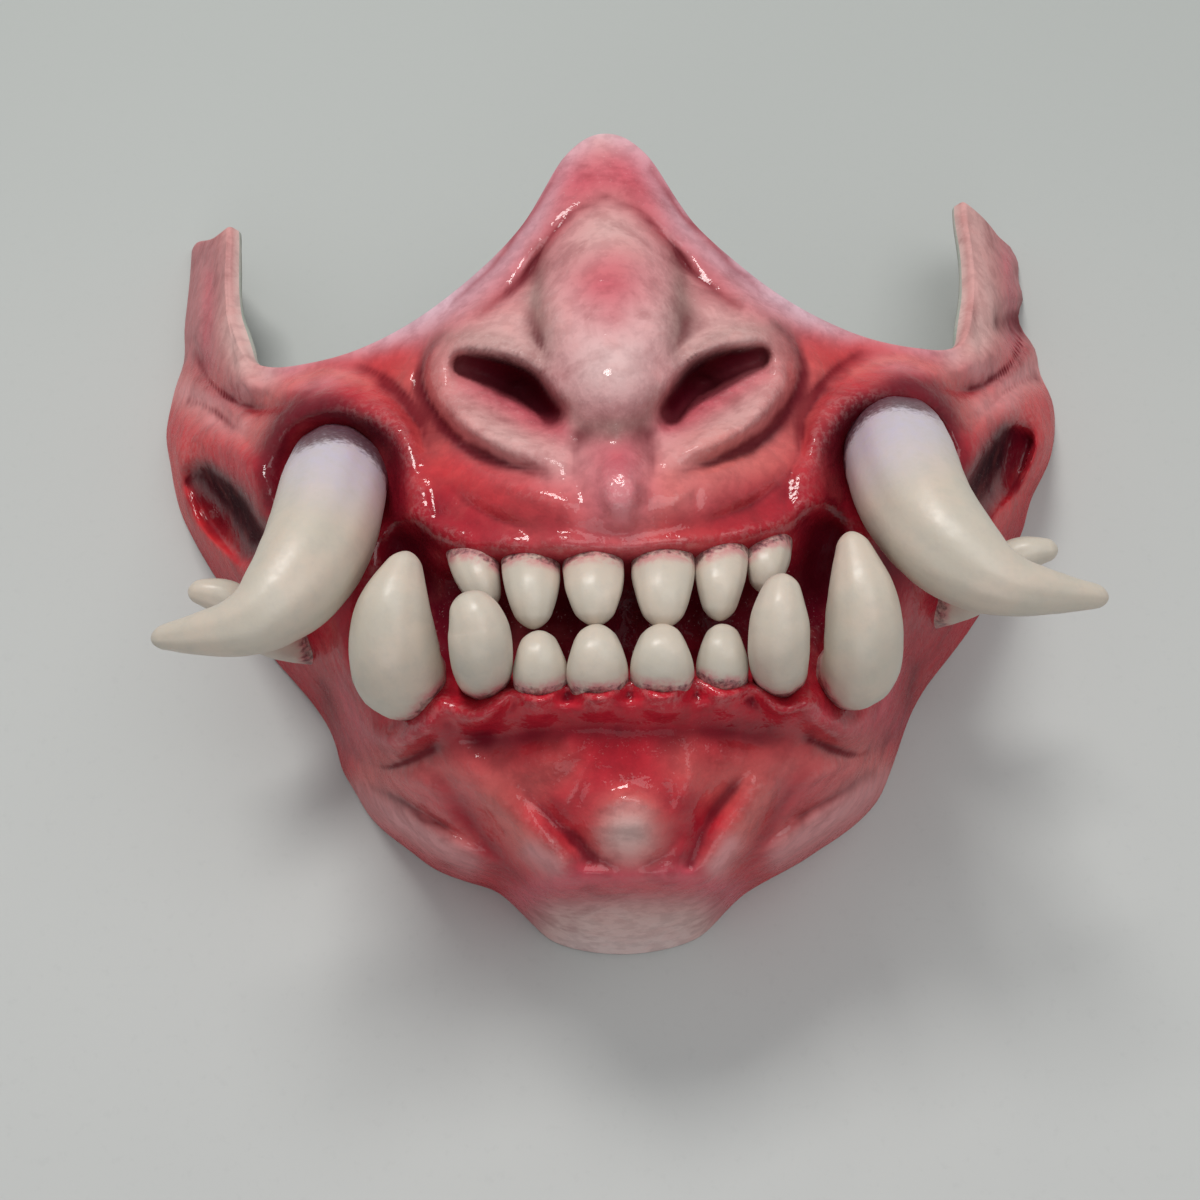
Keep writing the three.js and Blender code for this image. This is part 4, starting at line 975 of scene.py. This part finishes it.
def ivory(colours):
    """Ivory enamel under satin lacquer: lilac-grey and maroon stain at the root, faint streaks to the tip."""
    n = Nodes("ivory")
    where = n.add("ShaderNodeTexCoord").outputs["Object"]
    stain = n.attribute("stain").outputs["Fac"]
    lilac = n.attribute("lilac").outputs["Fac"]
    clouds = n.noise(where, 130.0, 4.0, 0.6)
    specks = n.noise(where, 1500.0, 3.0, 0.75)
    blotches = n.noise(where, 480.0, 3.0, 0.65)
    body = n.mix(n.steps(clouds, 0.36, 0.66, 0.0, 0.4), opaque(colours.ivory),
                 opaque(linear(214, 190, 172)))
    dull = n.mix(n.steps(blotches, 0.45, 0.7, 0.0, 0.22), body, opaque(linear(176, 168, 158)))
    greyed = n.mix(n.maths("MULTIPLY", lilac, n.steps(blotches, 0.2, 0.7, 0.9, 0.55)), dull,
                   opaque(linear(192, 182, 202)))
    blush = n.maths("MULTIPLY", n.attribute("blush").outputs["Fac"],
                    n.steps(blotches, 0.35, 0.6, 0.15, 0.75))
    pinked = n.mix(blush, greyed, opaque(linear(196, 112, 118)))
    spatter = n.noise(where, 1100.0, 3.0, 0.7)
    edge = n.maths("ADD", stain, n.maths("MULTIPLY", n.maths("SUBTRACT", spatter, 0.5), 1.2))
    stained = n.mix(n.steps(edge, 0.3, 0.85, 0.0, 0.9), pinked, opaque(linear(74, 24, 42)))
    bump_coarse = n.add("ShaderNodeBump", {"Height": clouds, "Strength": 0.2, "Distance": 0.0008})
    bump_fine = n.add("ShaderNodeBump", {"Height": specks, "Strength": 0.1, "Distance": 0.0002,
                                         "Normal": bump_coarse.outputs["Normal"]})
    shader = n.add("ShaderNodeBsdfPrincipled", {
        "Base Color": stained, "Roughness": n.steps(blotches, 0.3, 0.7, 0.36, 0.5), "IOR": 1.5,
        "Normal": bump_fine.outputs["Normal"], "Coat Weight": 0.1, "Coat Roughness": 0.26,
        "Subsurface Weight": 0.06, "Subsurface Radius": (0.004, 0.0025, 0.0015), "Subsurface Scale": 1.0})
    return n.finish(shader.outputs[0])


def table_paint(colours):
    """Matt pale laminate with the faintest mottle, and painted shade darkening it toward its far edge."""
    n = Nodes("pale_table")
    where = n.add("ShaderNodeTexCoord").outputs["Object"]
    clouds = n.noise(where, 9.0, 4.0, 0.6)
    grit = n.noise(where, 420.0, 3.0, 0.7)
    shade = n.mix(n.steps(clouds, 0.3, 0.7, 0.0, 0.12), opaque(colours.table), (0.42, 0.43, 0.43, 1.0))
    gritty = n.mix(n.steps(grit, 0.55, 0.72, 0.0, 0.08), shade, (0.3, 0.3, 0.3, 1.0))
    # painted shade: the table darkens and greys toward its far edge, where less light falls
    along = n.add("ShaderNodeSeparateXYZ", {"Vector": where}).outputs["Y"]
    gritty = n.mix(n.steps(along, -0.12, 0.2, 0.0, 0.8), gritty, (0.36, 0.38, 0.36, 1.0))
    shader = n.add("ShaderNodeBsdfPrincipled", {"Base Color": gritty, "Roughness": 0.62})
    return n.finish(shader.outputs[0])


# ---- Pieces -------------------------------------------------------------------------------------
def sized(points):
    """The points in metres of the frame, from drawn millimetres."""
    return points * drawn_scale()


def drawn_scale():
    """Metres in one drawn millimetre, so that the drawn shell is as wide as the CAD one."""
    low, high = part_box("shell")
    edge = whole_net()[:, 0]
    portrait = Portrait(bpy.context.scene.face_guard_sizes)
    rim = portrait.place(nudged(through(edge, np.linspace(0, len(edge) - 1, 400)) * [1, 1, 0]))
    return float(high[0] - low[0]) / float(np.ptp(rim[:, 0]))


def made(name, points, faces, materials, material_of_face=None, attributes=()):
    """A smooth mesh object at the origin, with its attributes, riding on the mask's one body."""
    mesh = bpy.data.meshes.new(name)
    mesh.from_pydata(points.tolist(), [], [face for group in faces for face in group.tolist()])
    for material in materials:
        mesh.materials.append(material)
    if material_of_face is not None:
        mesh.polygons.foreach_set("material_index", material_of_face)
    for label, kind, values in attributes:
        layer = mesh.attributes.new(label, kind, "POINT")
        layer.data.foreach_set("color" if kind == "FLOAT_COLOR" else "value",
                               values.ravel().astype(np.float32))
    mesh.shade_smooth()
    mesh.validate()
    mesh.update()
    piece = bpy.data.objects.new(name, mesh)
    bpy.context.scene.collection.objects.link(piece)
    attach(piece, "root")
    return piece


class FACEGUARD_OT_shell(bpy.types.Operator):
    """Sculpt and paint the shell"""
    bl_idname = "face_guard.shell"
    bl_label = "Shell"

    def execute(self, context):
        sizes, colours = context.scene.face_guard_sizes, context.scene.face_guard_colours
        portrait = Portrait(sizes)
        face, back, a, b = shell_faces(sizes, portrait)
        normals = net_normals(face)
        # how sunken each place is: the skin is darkened there as painted shade, and its lacquer dulled
        hollow = 0.5 * hollowness(face, normals, 2) + 0.35 * hollowness(face, normals, 5)
        turned_to_eye = smoothstep(np.sum(normals * portrait.toward_eye(face), axis=-1), 0.2, 0.8)
        drift = np.stack([grain(face, 7.0, 21), grain(face, 7.0, 22)]) \
            + 0.3 * np.stack([grain(face, 2.2, 23), grain(face, 2.2, 24)])
        drift = (drift * turned_to_eye).reshape(2, -1)
        painted = sprayed(a.ravel() + drift[0], b.ravel() + drift[1])
        redness = (painted[:, 0] - painted[:, 1]) / (painted[:, 0] + 0.05)
        gloss = smoothstep(redness, 0.25, 0.8) * (1 - 0.8 * smoothstep(hollow.ravel(), 0.2, 0.9))
        for near, share in laid_strokes(DULL, a.ravel(), b.ravel()):
            gloss[near] *= 1 - np.clip(share, 0.0, 1.0)
        for near, share in laid_strokes(WET, a.ravel(), b.ravel()):
            gloss[near] = np.maximum(gloss[near], share)
        points, front, rear, rim = closed_shell(face, back)
        extra = len(points) - painted.shape[0]

        def padded(values):
            return np.concatenate([values, np.zeros((extra,) + values.shape[1:])])

        # the sanded rim is the colour of the paint that ran over it
        painted = np.concatenate([painted, np.broadcast_to(CHIPS["beige"], (extra, 3))])
        rgba = np.concatenate([painted, np.ones((len(painted), 1))], axis=1)
        piece = made("painted_shell", sized(points), (front, rear, rim),
                     [painted_skin(), bare_resin(colours)],
                     np.repeat([0, 1, 0], [len(front), len(rear), len(rim)]),
                     [("paint", "FLOAT_COLOR", rgba), ("hollow", "FLOAT", padded(hollow.ravel())),
                      ("gloss", "FLOAT", padded(gloss))])
        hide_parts("shell")
        return {"FINISHED"}


class FACEGUARD_OT_teeth(bpy.types.Operator):
    """Shape and stain the tusks, fangs and teeth"""
    bl_idname = "face_guard.teeth"
    bl_label = "Teeth"

    def execute(self, context):
        portrait = Portrait(context.scene.face_guard_sizes)
        enamel = ivory(context.scene.face_guard_colours)
        paths = tooth_paths()
        face = shell_faces(context.scene.face_guard_sizes, portrait)[0]
        if sorted(paths) != TEETH:
            raise RuntimeError("the teeth are not the CAD part's teeth")
        for seed, (name, (path, radii)) in enumerate(sorted(paths.items()), start=31):
            points, sides, ends = tooth_surface(portrait, path, radii, seed)
            points = sunk_no_deeper(portrait, face, points, ROOT_DEPTH)
            horn = name.startswith("tusk")
            out = standing_out(portrait, face, points, 2)
            if horn:
                rootward, outward = root_share(portrait, points, path, radii)
                stain = 0.85 * np.maximum(smoothstep(rootward, 0.0, 0.9) * smoothstep(outward, 0.82, 1.12),
                                         smoothstep(out, 2.4, 0.2))
                lilac, blush = smoothstep(rootward, -0.8, 0.8), 0.7 * smoothstep(out, 5.0, 0.5)
            else:
                stain, lilac = 0.55 * smoothstep(out, 0.9, -0.4), np.zeros(len(points))
                blush = smoothstep(out, 3.6, 0.0)
            piece = made(f"fine_{name}", sized(points), (sides, ends), [enamel], None,
                         [("stain", "FLOAT", stain), ("lilac", "FLOAT", lilac), ("blush", "FLOAT", blush)])
            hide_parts(name)
        return {"FINISHED"}


# ---- Stage --------------------------------------------------------------------------------------
FLOOR_WIDTH = 6.0
LENS = 46.9
SHIFT = -0.0142
ROLL = math.radians(1.5)


def softbox(name, place, aim, size, power, colour):
    """A square area light at a place, facing its aim."""
    light = bpy.data.lights.new(name, "AREA")
    light.shape = "RECTANGLE"
    light.size, light.size_y = size
    light.energy = power
    light.color = colour
    lamp = bpy.data.objects.new(name, light)
    lamp.matrix_world = Matrix.Translation(place) @ (Vector(aim) - Vector(place)).to_track_quat("-Z", "Y") \
        .to_matrix().to_4x4()
    bpy.context.scene.collection.objects.link(lamp)


class FACEGUARD_OT_stage(bpy.types.Operator):
    """Set out the pale table, the soft lights and the camera at the eye"""
    bl_idname = "face_guard.stage"
    bl_label = "Stage"

    def execute(self, context):
        sizes, colours = context.scene.face_guard_sizes, context.scene.face_guard_colours
        portrait = Portrait(sizes)
        half = FLOOR_WIDTH / 2
        steps = np.linspace(-half, half, 9)
        grid = np.stack(np.meshgrid(steps, steps, indexing="ij") + [np.zeros((9, 9))], axis=-1)
        mesh = bpy.data.meshes.new("table_top")
        mesh.from_pydata(grid.reshape(-1, 3).tolist(), [], quads(np.arange(81).reshape(9, 9)).tolist())
        mesh.materials.append(table_paint(colours))
        floor = bpy.data.objects.new("table_top", mesh)
        context.scene.collection.objects.link(floor)

        world = bpy.data.worlds.new("soft_room")
        world.use_nodes = True
        world.node_tree.nodes["Background"].inputs["Color"].default_value = (0.93, 0.97, 1.0, 1.0)
        world.node_tree.nodes["Background"].inputs["Strength"].default_value = 0.37
        context.scene.world = world
        context.scene.view_settings.view_transform = "Standard"
        softbox("window", (-0.25, 0.7, 1.15), (0, 0, 0.03), (0.45, 0.35), 10.2, (1.0, 0.99, 0.97))
        softbox("ceiling", (0.4, -0.1, 1.3), (0, 0, 0.03), (0.9, 0.9), 5.0, (1.0, 1.0, 1.0))
        softbox("low_fill", (-0.1, -1.2, 0.7), (0, 0, 0.03), (1.0, 0.6), 1.9, (0.97, 0.98, 1.0))

        camera = bpy.data.cameras.new("eye")
        camera.sensor_width = 36.0
        camera.lens = LENS
        camera.shift_x = SHIFT
        camera.clip_start = 0.01
        eye = bpy.data.objects.new("eye", camera)
        right = Vector((math.cos(ROLL), *(-math.sin(ROLL) * portrait.up[1:])))
        back = Vector(portrait.sight)
        upward = back.cross(right)
        turn = Matrix((right, upward, back)).transposed().to_4x4()
        eye.matrix_world = Matrix.Translation(Vector(sized(portrait.eye))) @ turn
        context.scene.collection.objects.link(eye)
        context.scene.camera = eye
        return {"FINISHED"}


class FACEGUARD_PT_panel(bpy.types.Panel):
    """Lists the mask's sizes, colours and pieces"""
    bl_label = "Face Guard"
    bl_idname = "FACEGUARD_PT_panel"
    bl_space_type = "VIEW_3D"
    bl_region_type = "UI"
    bl_category = "Face Guard"

    def draw(self, context):
        for settings in (context.scene.face_guard_sizes, context.scene.face_guard_colours):
            for field in settings.__annotations__:
                self.layout.prop(settings, field)
        for operator in OPERATORS:
            self.layout.operator(operator.bl_idname)


OPERATORS = (FACEGUARD_OT_stage, FACEGUARD_OT_shell, FACEGUARD_OT_teeth)
CLASSES = (FaceGuardSizes, FaceGuardColours, *OPERATORS, FACEGUARD_PT_panel)


def register():
    for cls in CLASSES:
        bpy.utils.register_class(cls)
    bpy.types.Scene.face_guard_sizes = PointerProperty(type=FaceGuardSizes)
    bpy.types.Scene.face_guard_colours = PointerProperty(type=FaceGuardColours)


def unregister():
    del bpy.types.Scene.face_guard_colours
    del bpy.types.Scene.face_guard_sizes
    for cls in reversed(CLASSES):
        bpy.utils.unregister_class(cls)


def main():
    register()
    bpy.ops.face_guard.stage()
    bpy.ops.face_guard.shell()
    bpy.ops.face_guard.teeth()


if __name__ == "__main__":
    main()
